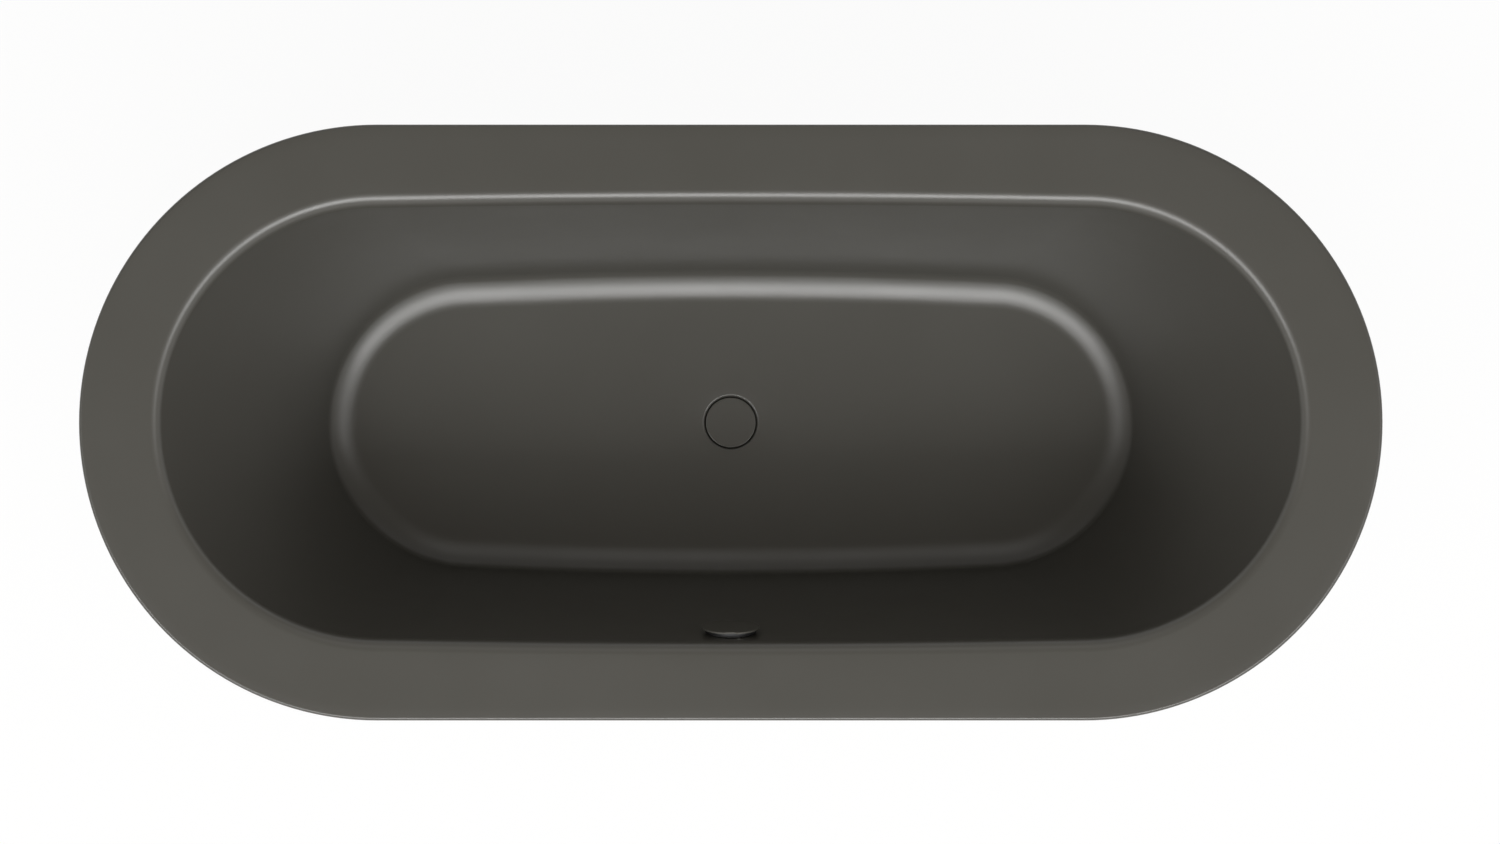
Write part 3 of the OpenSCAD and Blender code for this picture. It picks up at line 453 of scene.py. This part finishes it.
def cut_round(piece, radius, depth, place, vertices=96):
    """Cuts a round hole, or a round bite, with a cylinder."""
    bpy.ops.object.select_all(action="DESELECT")
    bpy.ops.mesh.primitive_cylinder_add(vertices=vertices, radius=radius, depth=depth)
    cutter = bpy.context.object
    settle(cutter, place)
    apply_modifier(piece, "BOOLEAN", object=cutter, operation="DIFFERENCE", solver="EXACT")
    bpy.data.objects.remove(cutter)


def dress(piece, nodes, slot_name, material_slot=None):
    """Gives a finished piece its material and its body, and hides the nodes it stands for."""
    piece.data.materials.clear()
    piece.data.materials.append(finish_for(material_slot or slot_name))
    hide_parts(*nodes)
    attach(piece, BODY_OF[nodes[0]])
    return piece


# ------------------------------------------------------------ tub outlines


def oval(half_length, half_width, radius, end_steps, side_steps):
    """Points and outward normals round an oval of four arcs."""
    half_angle = 2 * math.atan((half_width - radius) / (half_length - radius))
    straight = half_angle < 1e-6
    reach = half_length - radius
    side_radius = 0 if straight else radius + reach / math.sin(half_angle)
    corner_x = reach if straight else side_radius * math.sin(half_angle)
    sweep = math.pi / 2 - half_angle
    half = []
    for i in range(end_steps):
        t = -sweep + 2 * sweep * i / end_steps
        out = (math.cos(t), math.sin(t))
        half.append(((reach + radius * out[0], radius * out[1]), out))
    for i in range(side_steps):
        x = corner_x * (1 - 2 * i / side_steps)
        if straight:
            half.append(((x, half_width), (0, 1)))
        else:
            rise = math.sqrt(side_radius**2 - x * x)
            out = (x / side_radius, rise / side_radius)
            half.append(((x, half_width - side_radius + rise), out))
    full = half + [((-p[0], -p[1]), (-n[0], -n[1])) for p, n in half]
    return [Vector((*p, 0)) for p, n in full], [Vector((*n, 0)) for p, n in full]


def bend_point(corner, first, second, radius, depth, share):
    """A point on a rounding in the plane of two directions; "depth" is how
    far it lies behind the front, towards the inside of the turn."""
    turn = math.acos(first.dot(second))
    side = (second - math.cos(turn) * first) / math.sin(turn)
    s = share * turn
    start = corner - first * radius * math.tan(turn / 2) + side * depth
    return start + (radius - depth) * (first * math.sin(s) + side * (1 - math.cos(s)))


# Tilt up to which each part of the slack bend runs, and its radius as a share.
SLACK_BEND = ((math.radians(14), 0.8), (math.radians(32), 1.8), (math.pi, 0.4))


def slack_bend_point(corner, first, second, radius, depth, share):
    """As bend_point, on the slack bend that a deep drawn wall makes with its
    floor: it opens out where it leaves the floor and tightens up the wall."""
    turn = math.acos(first.dot(second))
    side = (second - math.cos(turn) * first) / math.sin(turn)

    def travelled(stop):
        along = across = low = 0.0
        for high, part in SLACK_BEND:
            start, end = turn - min(high, turn), turn - low
            end = min(end, stop)
            if end > start:
                along += part * radius * (math.sin(end) - math.sin(start))
                across += part * radius * (math.cos(start) - math.cos(end))
            low = min(high, turn)
        return along, across

    along, across = travelled(turn)
    before = along - across / math.tan(turn)
    s = share * turn
    along, across = travelled(s)
    inward = side * math.cos(s) - first * math.sin(s)
    return corner + first * (along - before) + side * across + inward * depth


def shares(steps):
    """Even shares from 0 to 1."""
    return [i / steps for i in range(steps + 1)]


def between(first, second, steps):
    """Rings spread evenly between two rings, without the two."""
    return [
        [a.lerp(b, i / steps) for a, b in zip(first, second)] for i in range(1, steps)
    ]


# Points round each end and along each side of an outline.
END_STEPS, SIDE_STEPS = 88, 44
# Rings down the tub's section: the bends are cut finely, the straights coarsely.
EDGE_RINGS = 6
FLOOR_RINGS, FLOOR_BEND_RINGS, WALL_RINGS, MOUTH_BEND_RINGS, RIM_RINGS = 14, 30, 18, 16, 6
BACK_MOUTH_BEND_RINGS, BACK_WALL_RINGS, BACK_FLOOR_BEND_RINGS = 6, 6, 12


def tub_rings(sizes):
    """Rings of the pressed tub, from the waste hole over the rim and back."""
    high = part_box("tub_shell")[1]
    cover_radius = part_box("plug_cover")[1].x
    top, floor = high.z, high.z - sizes.depth
    mouth_a, mouth_b = high.x - sizes.rim_end, high.y - sizes.rim_side
    basin_a = mouth_a - sizes.depth * math.tan(sizes.end_lean)
    basin_b = mouth_b - sizes.depth * math.tan(SIDE_LEAN)
    steps = (END_STEPS, SIDE_STEPS)
    mouth, mouth_out = oval(mouth_a, mouth_b, mouth_b - sizes.mouth_bow, *steps)
    basin, basin_out = oval(basin_a, basin_b, basin_b - sizes.floor_bow, *steps)
    up, ground = Vector((0, 0, top)), Vector((0, 0, floor))
    walls = [((b + ground) - (m + up)).normalized() for m, b in zip(mouth, basin)]
    turns = [math.atan2(p.y / basin_b, p.x / basin_a) for p in basin]

    def round_ring(radius, z):
        return [Vector((radius * math.cos(t), radius * math.sin(t), z)) for t in turns]

    def rim_ring(share, depth):
        return [
            bend_point(m + up, -n, w, sizes.rim_round, depth, share)
            for m, n, w in zip(mouth, mouth_out, walls)
        ]

    def floor_ring(share, depth):
        return [
            slack_bend_point(b + ground, w, -n, sizes.floor_round, -depth, share)
            for b, n, w in zip(basin, basin_out, walls)
        ]

    def edge_ring(inset, z):
        points, _ = oval(high.x - inset, high.y - inset, high.y - inset, *steps)
        return [p + Vector((0, 0, z)) for p in points]

    sheet, r = sizes.sheet, sizes.recess_round
    recess_r = cover_radius + sizes.plug_gap
    recess_z = floor - sizes.recess
    quarter = [math.pi / 2 * s for s in shares(EDGE_RINGS)]
    front = [round_ring(sizes.waste_hole, recess_z)]
    front += [
        round_ring(recess_r - r * (1 - math.sin(t)), recess_z + r * (1 - math.cos(t)))
        for t in quarter
    ]
    front += [
        round_ring(recess_r + r * (1 - math.cos(t)), floor - r * (1 - math.sin(t)))
        for t in quarter
    ]
    front += between(front[-1], floor_ring(1, 0), FLOOR_RINGS)
    front += [floor_ring(1 - s, 0) for s in shares(FLOOR_BEND_RINGS)]
    front += between(floor_ring(0, 0), rim_ring(1, 0), WALL_RINGS)
    front += [rim_ring(1 - s, 0) for s in shares(MOUTH_BEND_RINGS)]
    edge_in = edge_ring(sizes.edge_round, top)
    front += between(rim_ring(0, 0), edge_in, RIM_RINGS)
    front += [
        edge_ring(sizes.edge_round * (1 - math.sin(t)), top - sizes.edge_round * (1 - math.cos(t)))
        for t in quarter
    ]
    lip_low = [edge_ring(0, top - sizes.lip), edge_ring(sheet, top - sizes.lip)]
    back = [edge_ring(sheet, top - sheet)]
    back += [rim_ring(s, sheet) for s in shares(BACK_MOUTH_BEND_RINGS)]
    back += between(rim_ring(1, sheet), floor_ring(0, sheet), BACK_WALL_RINGS)
    back += [floor_ring(s, sheet) for s in shares(BACK_FLOOR_BEND_RINGS)]
    back += [round_ring(recess_r + sheet, floor - sheet)]
    back += [
        round_ring(
            recess_r - r + (r + sheet) * math.cos(t), recess_z + r - (r + sheet) * math.sin(t)
        )
        for t in quarter
    ]
    back += [round_ring(sizes.waste_hole, recess_z - sheet)]
    return front + lip_low + back


# ------------------------------------------------------------- the pieces


class TUB_OT_shell(bpy.types.Operator):
    """Model the pressed and enamelled tub with its rim, lip and recess"""

    bl_idname = "tub.shell"
    bl_label = "Tub Shell"

    def execute(self, context):
        sizes = context.scene.tub_sizes
        piece = bend_grid("enamelled_tub", tub_rings(sizes), loop=True)
        through_wall = 30 * MM
        cut_round(piece, sizes.overflow_hole, through_wall, OVERFLOW_PLACE)
        in_edit_mode(piece, weld())
        smooth(piece)
        dress(piece, ["tub_shell"], "enamel")
        return {"FINISHED"}


def stadium(half_length, half_width, z):
    """A ring with straight sides and half round ends."""
    points, _ = oval(half_length, half_width, half_width, END_STEPS, SIDE_STEPS)
    return [p + Vector((0, 0, z)) for p in points]


def band_rings(profile, centre_x):
    """Rings that carry a (radius, height) profile round the stadium."""
    return [stadium(centre_x + radius, radius, z) for radius, z in profile]


def rounded(profile, radius, steps=3):
    """Rounds the corners of a closed profile."""
    points = [Vector(p) for p in profile]
    made = []
    for i, corner in enumerate(points):
        before, after = points[i - 1], points[(i + 1) % len(points)]
        back, ahead = (before - corner), (after - corner)
        cut = min(radius, back.length * 0.45, ahead.length * 0.45)
        first, last = corner + back.normalized() * cut, corner + ahead.normalized() * cut
        for s in shares(steps):
            made.append(first.lerp(corner, s).lerp(corner.lerp(last, s), s))
    return made


class TUB_OT_skirt(bpy.types.Operator):
    """Model the leaning skirt with its two turned-in flanges"""

    bl_idname = "tub.skirt"
    bl_label = "Skirt"

    def execute(self, context):
        sizes = context.scene.tub_sizes
        low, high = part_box("skirt")
        foot_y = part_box("skirt_edge_trim")[1].y
        t, flange = sizes.skirt_sheet, sizes.skirt_flange
        slope = (high.y - foot_y) / (high.z - low.z)
        wall = t * math.hypot(1, slope)
        outer = [(foot_y + slope * (z - low.z), z) for z in (low.z, high.z)]
        inner_low, inner_high = outer[0][0] - wall, outer[1][0] - wall
        profile = rounded(
            [
                outer[0], outer[1],
                (inner_high - flange, high.z), (inner_high - flange, high.z - t),
                (inner_high - slope * t, high.z - t), (inner_low + slope * t, low.z + t),
                (inner_low - flange, low.z + t), (inner_low - flange, low.z),
            ],
            t * 0.6,
        )
        piece = bend_grid("enamelled_skirt", band_rings(profile, high.x - high.y), loop=True)
        dress(piece, ["skirt"], "skirt_enamel")
        return {"FINISHED"}


class TUB_OT_strips(bpy.types.Operator):
    """Model the foam strip under the rim and the trim under the skirt"""

    bl_idname = "tub.strips"
    bl_label = "Foam Strip and Edge Trim"

    def execute(self, context):
        rim_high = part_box("rim_foam")[1]
        centre_x, edge = rim_high.x - rim_high.y, 1.2 * MM
        for name, node, width in (
            ("foam_strip", "rim_foam", 16 * MM),
            ("skirt_trim", "skirt_edge_trim", 8 * MM),
        ):
            low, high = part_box(node)
            inner = high.y - width
            profile = rounded(
                [(inner, low.z), (high.y, low.z), (high.y, high.z), (inner, high.z)], edge
            )
            piece = bend_grid(name, band_rings(profile, centre_x), loop=True)
            dress(piece, [node], "rubber")
        return {"FINISHED"}


class TUB_OT_knob(bpy.types.Operator):
    """Model the turn knob: a scalloped face on a smaller drum, coloured black as painted shade for the gap behind
    the face
    """

    bl_idname = "tub.knob"
    bl_label = "Turn Knob"

    def execute(self, context):
        sizes = context.scene.tub_fittings
        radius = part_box("overflow_knob")[1].x
        # Heights off the wall; the tools pass each other a little.
        lowest, face, through, overlap = 2 * MM, 9.6 * MM, 100 * MM, 0.2 * MM
        boss_radius, boss_length = 7 * MM, 3.4 * MM
        under = face - sizes.knob_top
        piece = self.drum("turn_knob", 160, radius, under, face)
        reach = radius + sizes.scallop - sizes.scallop_in
        for side in (-1, 1):
            cut_round(piece, sizes.scallop, through, Matrix.Translation((0, side * reach, 0)))
        self.round_edges(piece, face, sizes.knob_edge, 6)
        self.round_edges(piece, under, 0.3 * MM, 2)
        hollow = radius - sizes.drum_in - sizes.knob_wall
        for name, vertices, outer, low, operation in (
            ("drum", 128, radius - sizes.drum_in, lowest, "UNION"),
            ("hollow", 128, hollow, lowest - 1 * MM, "DIFFERENCE"),
            ("boss", 64, boss_radius, under - boss_length, "UNION"),
        ):
            tool = self.drum(name, vertices, outer, low, under + overlap)
            if name == "drum":
                self.round_edges(tool, lowest, 0.5 * MM, 3)
            apply_modifier(piece, "BOOLEAN", object=tool, operation=operation, solver="EXACT")
            bpy.data.objects.remove(tool)
        in_edit_mode(piece, weld())
        settle(piece, OVERFLOW_PLACE)
        smooth(piece)
        dress(piece, ["overflow_knob"], "enamel", "knob_lacquer")
        # The drum, its hollow and its boss take black plastic: painted shade, so the gap behind the knob's face
        # reads dark.
        piece.data.materials.append(finish_for("black_plastic"))
        to_knob = OVERFLOW_PLACE.inverted()
        for polygon in piece.data.polygons:
            if (to_knob @ polygon.center).z < under - 0.1 * MM:
                polygon.material_index = 1
        return {"FINISHED"}

    def drum(self, name, vertices, radius, low, high):
        """A round blank between two heights."""
        bpy.ops.object.select_all(action="DESELECT")
        bpy.ops.mesh.primitive_cylinder_add(
            vertices=vertices, radius=radius, depth=high - low, location=(0, 0, (high + low) / 2)
        )
        blank = bpy.context.object
        blank.name = blank.data.name = name
        settle(blank, blank.matrix_world.copy())
        return blank

    def round_edges(self, piece, z, width, segments):
        """Bevels every edge that lies at one height."""
        select_only(piece)
        bpy.ops.object.mode_set(mode="EDIT")
        bpy.ops.mesh.select_mode(type="EDGE")
        bpy.ops.mesh.select_all(action="DESELECT")
        bpy.ops.object.mode_set(mode="OBJECT")
        points = piece.data.vertices
        level = [abs(v.co.z - z) < 0.01 * MM for v in points]
        for edge in piece.data.edges:
            edge.select = all(level[i] for i in edge.vertices)
        bpy.ops.object.mode_set(mode="EDIT")
        bpy.ops.mesh.bevel(offset=width, segments=segments, profile=0.5, clamp_overlap=True)
        bpy.ops.object.mode_set(mode="OBJECT")


class TUB_OT_plug(bpy.types.Operator):
    """Model the plug cover with its soft edge"""

    bl_idname = "tub.plug"
    bl_label = "Plug Cover"

    def execute(self, context):
        sizes = context.scene.tub_fittings
        low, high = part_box("plug_cover")
        radius, r, around = high.x, sizes.plug_edge, 160
        turns = [2 * math.pi * i / around for i in range(around)]

        def ring(rad, z):
            return [Vector((rad * math.cos(t), rad * math.sin(t), z)) for t in turns]

        rings = [ring(radius * s, low.z) for s in (0.1, 0.5, 0.9)]
        rings += [ring(radius - r, low.z), ring(radius, low.z + r)]
        rings += [
            ring(radius - r + r * math.cos(t), high.z - r + r * math.sin(t))
            for t in (math.pi / 2 * s for s in shares(5))
        ]
        rings += [ring(radius * s, high.z) for s in (0.9, 0.6, 0.3, 0.1)]
        piece = bend_grid("plug_cover_finished", rings, loop=False)
        dress(piece, ["plug_cover"], "enamel")
        return {"FINISHED"}


def tube_rings(points, radii, sides):
    """Rings square to a path in which no stretch runs along X."""
    rings = []
    for i, point in enumerate(points):
        ahead = points[min(i + 1, len(points) - 1)] - points[max(i - 1, 0)]
        across = Vector((1, 0, 0)).cross(ahead).normalized()
        beside = ahead.normalized().cross(across)
        rings.append(
            [
                point + radii[i] * (across * math.cos(t) + beside * math.sin(t))
                for t in (2 * math.pi * s / sides for s in range(sides))
            ]
        )
    return rings


def resample(points, step):
    """Points spread evenly along a path, about "step" apart."""
    lengths = [0.0]
    for a, b in zip(points, points[1:]):
        lengths.append(lengths[-1] + (b - a).length)
    count = max(2, round(lengths[-1] / step))
    made, k = [], 0
    for i in range(count + 1):
        s = lengths[-1] * i / count
        while k < len(points) - 2 and lengths[k + 1] < s:
            k += 1
        share = (s - lengths[k]) / (lengths[k + 1] - lengths[k])
        made.append(points[k].lerp(points[k + 1], share))
    return made


class TUB_OT_hose(bpy.types.Operator):
    """Model the ribbed overflow hose"""

    bl_idname = "tub.hose"
    bl_label = "Overflow Hose"

    def execute(self, context):
        sizes = context.scene.tub_fittings
        low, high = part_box("overflow_hose")
        radius, bend, per_rib, sides = high.x, 100 * MM, 6, 40
        start = Vector(
            (0, low.y + radius * math.cos(SIDE_LEAN), high.z - radius * math.sin(SIDE_LEAN))
        )
        end = Vector((0, high.y, low.z + radius))
        drop = start.z - end.z - bend * (1 - math.sin(SIDE_LEAN))
        turn_start = start + DOWN_WALL * (drop / math.cos(SIDE_LEAN))
        centre = turn_start + bend * Vector((0, math.cos(SIDE_LEAN), math.sin(SIDE_LEAN)))
        arc = []
        for s in shares(sides):
            t = SIDE_LEAN + (math.pi / 2 - SIDE_LEAN) * s
            arc.append(centre - bend * Vector((0, math.cos(t), math.sin(t))))
        path = resample([start, *arc, end], sizes.rib_pitch / per_rib)
        total = sizes.rib_pitch * round(len(path) / per_rib)
        cuff, clearance = 24 * MM, 0.1 * MM
        radii = []
        for i in range(len(path)):
            s = total * i / (len(path) - 1)
            ribbed = cuff < s < total - cuff
            wave = 0.5 - 0.5 * math.cos(2 * math.pi * (s - cuff) / sizes.rib_pitch)
            radii.append(radius - clearance - (sizes.rib_depth * wave if ribbed else 0))
        piece = bend_grid("ribbed_hose", tube_rings(path, radii, sides), loop=False)
        dress(piece, ["overflow_hose"], "hose_plastic")
        return {"FINISHED"}


class TUB_OT_cable(bpy.types.Operator):
    """Model the control cable from the overflow to the waste"""

    bl_idname = "tub.cable"
    bl_label = "Control Cable"

    def execute(self, context):
        radius, per_stretch, sides = 2.5 * MM, 16, 20
        low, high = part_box("control_cable")
        gland = Vector(
            (34 * MM, low.y + radius * math.cos(SIDE_LEAN), high.z - radius * math.sin(SIDE_LEAN))
        )
        stop = Vector((39 * MM, high.y, low.z + radius))
        route = [
            gland,
            gland + Vector((0, 10, -45)) * MM,
            gland + Vector((1, 33, -150)) * MM,
            Vector((37, -250, 290)) * MM,
            Vector((38, -222, 205)) * MM,
            Vector((39, -170, 160)) * MM,
            stop + Vector((0, -50, 0)) * MM,
            stop,
        ]
        path = []
        for i in range(len(route) - 1):
            a, b, c, d = (route[min(max(k, 0), len(route) - 1)] for k in range(i - 1, i + 3))
            for t in (s / per_stretch for s in range(per_stretch)):
                path.append(
                    0.5 * (2 * b + (c - a) * t + (2 * a - 5 * b + 4 * c - d) * t**2
                    + (3 * b - a - 3 * c + d) * t**3)
                )
        path = resample(path + [stop], 2 * MM)
        piece = bend_grid(
            "sheathed_cable", tube_rings(path, [radius] * len(path), sides), loop=False
        )
        dress(piece, ["control_cable"], "hose_plastic", "black_plastic")
        return {"FINISHED"}


EDGED_NODES = (
    "base_frame", "tube_end_caps", "saddle_pads", "skirt_brackets", "bracket_bolts",
    "threaded_bushes", "lock_nuts", "earth_lug", "earth_screw", "sound_mats",
    "foot_stud_1", "foot_stud_2", "foot_stud_3", "foot_stud_4",
    "foot_pad_1", "foot_pad_2", "foot_pad_3", "foot_pad_4",
    "waste_flange", "lift_lever", "pull_rod", "overflow_plate", "trap_nuts", "hose_collars",
)


class TUB_OT_hardware(bpy.types.Operator):
    """Break the edges of the frame, the feet and the fittings"""

    bl_idname = "tub.hardware"
    bl_label = "Frame, Feet and Fittings"

    def execute(self, context):
        edge = context.scene.tub_fittings.hardware_edge
        slots = {row["node"]: row["material_slot"] for row in frame["record"]["subparts"]}
        for node in EDGED_NODES:
            piece = bpy.data.objects.new(node + "_finished", frame["nodes"][node].data.copy())
            context.scene.collection.objects.link(piece)
            in_edit_mode(
                piece, weld(), lambda: bpy.ops.mesh.dissolve_limited(angle_limit=math.radians(0.5))
            )
            apply_modifier(
                piece, "BEVEL", width=edge, segments=2, limit_method="ANGLE",
                angle_limit=math.radians(40), use_clamp_overlap=True,
            )
            smooth(piece, 30)
            bitumen = "bitumen" if node == "sound_mats" else None
            dress(piece, [node], slots[node], bitumen)
        return {"FINISHED"}


class TUB_OT_finishes(bpy.types.Operator):
    """Give every CAD node that still shows its own finish"""

    bl_idname = "tub.finishes"
    bl_label = "Finishes of the Other Parts"

    def execute(self, context):
        for row in frame["record"]["subparts"]:
            node = frame["nodes"][row["node"]]
            if not node.hide_render:
                node.data.materials.clear()
                node.data.materials.append(finish_for(row["material_slot"]))
        return {"FINISHED"}


# ----------------------------------------------------------------- stage


# Degrees round from the overflow side, and power as a share of the key's.
SOFTBOXES = ((0, 1), (-41, 0.77), (41, 0.79), (-80, 0.16), (80, 0.21), (180, 0.08))
# Share of the floor that reads as white; the rest takes the object's shadow.
WHITE_SHARE = 0.95


def softbox(name, power, width, height, place, target):
    """An area lamp that looks at a point."""
    light = bpy.data.lights.new(name, "AREA")
    light.shape = "RECTANGLE"
    light.size, light.size_y, light.energy = width, height, power
    lamp = bpy.data.objects.new(name, light)
    bpy.context.scene.collection.objects.link(lamp)
    lamp.location = place
    lamp.rotation_euler = (target - place).to_track_quat("-Z", "Y").to_euler()
    lamp.visible_camera = False


def seen_rays(tree, gloss=None):
    """1 for camera, transmission and glossy rays, and 0 for the rest. "gloss"
    can hold back the glossy ones."""
    path = add_node(tree, "ShaderNodeLightPath")
    glossy = path.outputs["Is Glossy Ray"]
    if gloss:
        glossy = add_node(
            tree, "ShaderNodeMath", {0: glossy, 1: gloss}, operation="MULTIPLY"
        ).outputs[0]
    seen = add_node(
        tree, "ShaderNodeMath",
        {0: path.outputs["Is Camera Ray"], 1: path.outputs["Is Transmission Ray"]},
        operation="MAXIMUM",
    )
    return add_node(
        tree, "ShaderNodeMath", {0: seen.outputs[0], 1: glossy}, operation="MAXIMUM"
    ).outputs[0]


class TUB_OT_stage(bpy.types.Operator):
    """Set up the pale floor, the soft light and the camera straight above"""

    bl_idname = "tub.stage"
    bl_label = "Stage"

    def execute(self, context):
        stage = context.scene.tub_stage
        self.make_camera(context, stage)
        self.make_floor(stage)
        self.make_lights(stage)
        self.make_world(context, stage)
        context.scene.view_settings.view_transform = "Standard"
        return {"FINISHED"}

    def make_camera(self, context, stage):
        """A camera straight above, without perspective."""
        data = bpy.data.cameras.new("camera")
        data.type = "ORTHO"
        data.ortho_scale = stage.view_width
        camera = bpy.data.objects.new("camera", data)
        context.scene.collection.objects.link(camera)
        camera.location = (stage.camera_x, stage.camera_y, 6)
        context.scene.camera = camera

    def make_floor(self, stage):
        """A plain floor that keeps the object's shadow but reads as white."""
        bpy.ops.object.select_all(action="DESELECT")
        bpy.ops.mesh.primitive_circle_add(vertices=96, radius=14, fill_type="NGON")
        floor = bpy.context.object
        floor.name = "studio_floor"
        material, tree, bsdf, _ = new_material("matt_studio_floor", Roughness=0.9)
        bsdf.inputs["Base Color"].default_value = stage.floor
        white = add_node(tree, "ShaderNodeEmission", {"Strength": 1.0})
        share = add_node(
            tree, "ShaderNodeMath", {0: seen_rays(tree), 1: WHITE_SHARE}, operation="MULTIPLY"
        )
        mixed = add_node(tree, "ShaderNodeMixShader", {0: share.outputs[0]})
        tree.links.new(bsdf.outputs[0], mixed.inputs[1])
        tree.links.new(white.outputs[0], mixed.inputs[2])
        tree.links.new(mixed.outputs[0], tree.nodes["Material Output"].inputs["Surface"])
        floor.data.materials.append(material)

    def make_lights(self, stage):
        """A row of softboxes round the overflow side, weaker towards its ends,
        and a faint one across from it."""
        rim = Vector((0, 0, cad_box[1].z))
        down, up = math.sin(stage.key_angle), math.cos(stage.key_angle)
        width, height = 0.5 * stage.reach, 0.34 * stage.reach
        for degrees, share in SOFTBOXES:
            turn = math.radians(degrees)
            way = Vector((down * math.sin(turn), -down * math.cos(turn), up))
            name = "softbox_%03d" % (90 + degrees)
            softbox(name, share * stage.key_power, width, height, rim + stage.reach * way, rim)

    def make_world(self, context, stage):
        """Even ambient light, and white where the camera sees past the floor.
        Glossy pieces see that white low down, and the even light overhead."""
        world = bpy.data.worlds.new("studio")
        world.use_nodes = True
        context.scene.world = world
        tree = world.node_tree
        even = tree.nodes["Background"]
        even.inputs["Color"].default_value = stage.bounce
        even.inputs["Strength"].default_value = stage.ambient
        white = add_node(tree, "ShaderNodeBackground", {"Color": (1, 1, 1, 1), "Strength": 1.0})
        way = add_node(tree, "ShaderNodeTexCoord").outputs["Generated"]
        height = add_node(tree, "ShaderNodeSeparateXYZ", {"Vector": way}).outputs["Z"]
        low = add_node(
            tree, "ShaderNodeMapRange",
            {"Value": height, "From Min": 0.1, "From Max": 0.5, "To Min": 1.0, "To Max": 0.0},
        ).outputs["Result"]
        mixed = add_node(tree, "ShaderNodeMixShader", {0: seen_rays(tree, low)})
        tree.links.new(even.outputs[0], mixed.inputs[1])
        tree.links.new(white.outputs[0], mixed.inputs[2])
        tree.links.new(mixed.outputs[0], tree.nodes["World Output"].inputs["Surface"])


class TUB_PT_panel(bpy.types.Panel):
    """Lists the bathtub's pieces and its finishes"""

    bl_idname = "TUB_PT_panel"
    bl_label = "Freestanding Bathtub"
    bl_space_type = "VIEW_3D"
    bl_region_type = "UI"
    bl_category = "Bathtub"

    def draw(self, context):
        layout = self.layout
        for operator in OPERATORS:
            layout.operator(operator.bl_idname)
        for group in ("tub_sizes", "tub_fittings", "tub_finishes", "tub_stage"):
            settings = getattr(context.scene, group)
            box = layout.box()
            for name in settings.__annotations__:
                box.prop(settings, name)


GROUPS = {
    "tub_sizes": TubSizes,
    "tub_fittings": FittingSizes,
    "tub_finishes": Finishes,
    "tub_stage": StageSettings,
}
OPERATORS = (
    TUB_OT_stage, TUB_OT_shell, TUB_OT_skirt, TUB_OT_strips, TUB_OT_knob, TUB_OT_plug,
    TUB_OT_hose, TUB_OT_cable, TUB_OT_hardware, TUB_OT_finishes,
)


def register():
    for made in (*GROUPS.values(), *OPERATORS, TUB_PT_panel):
        bpy.utils.register_class(made)
    for name, group in GROUPS.items():
        setattr(bpy.types.Scene, name, PointerProperty(type=group))


def unregister():
    for name in GROUPS:
        delattr(bpy.types.Scene, name)
    for made in (TUB_PT_panel, *reversed(OPERATORS), *GROUPS.values()):
        bpy.utils.unregister_class(made)


def main():
    register()
    bpy.ops.tub.stage()
    bpy.ops.tub.shell()
    bpy.ops.tub.skirt()
    bpy.ops.tub.strips()
    bpy.ops.tub.knob()
    bpy.ops.tub.plug()
    bpy.ops.tub.hose()
    bpy.ops.tub.cable()
    bpy.ops.tub.hardware()
    bpy.ops.tub.finishes()


if __name__ == "__main__":
    main()
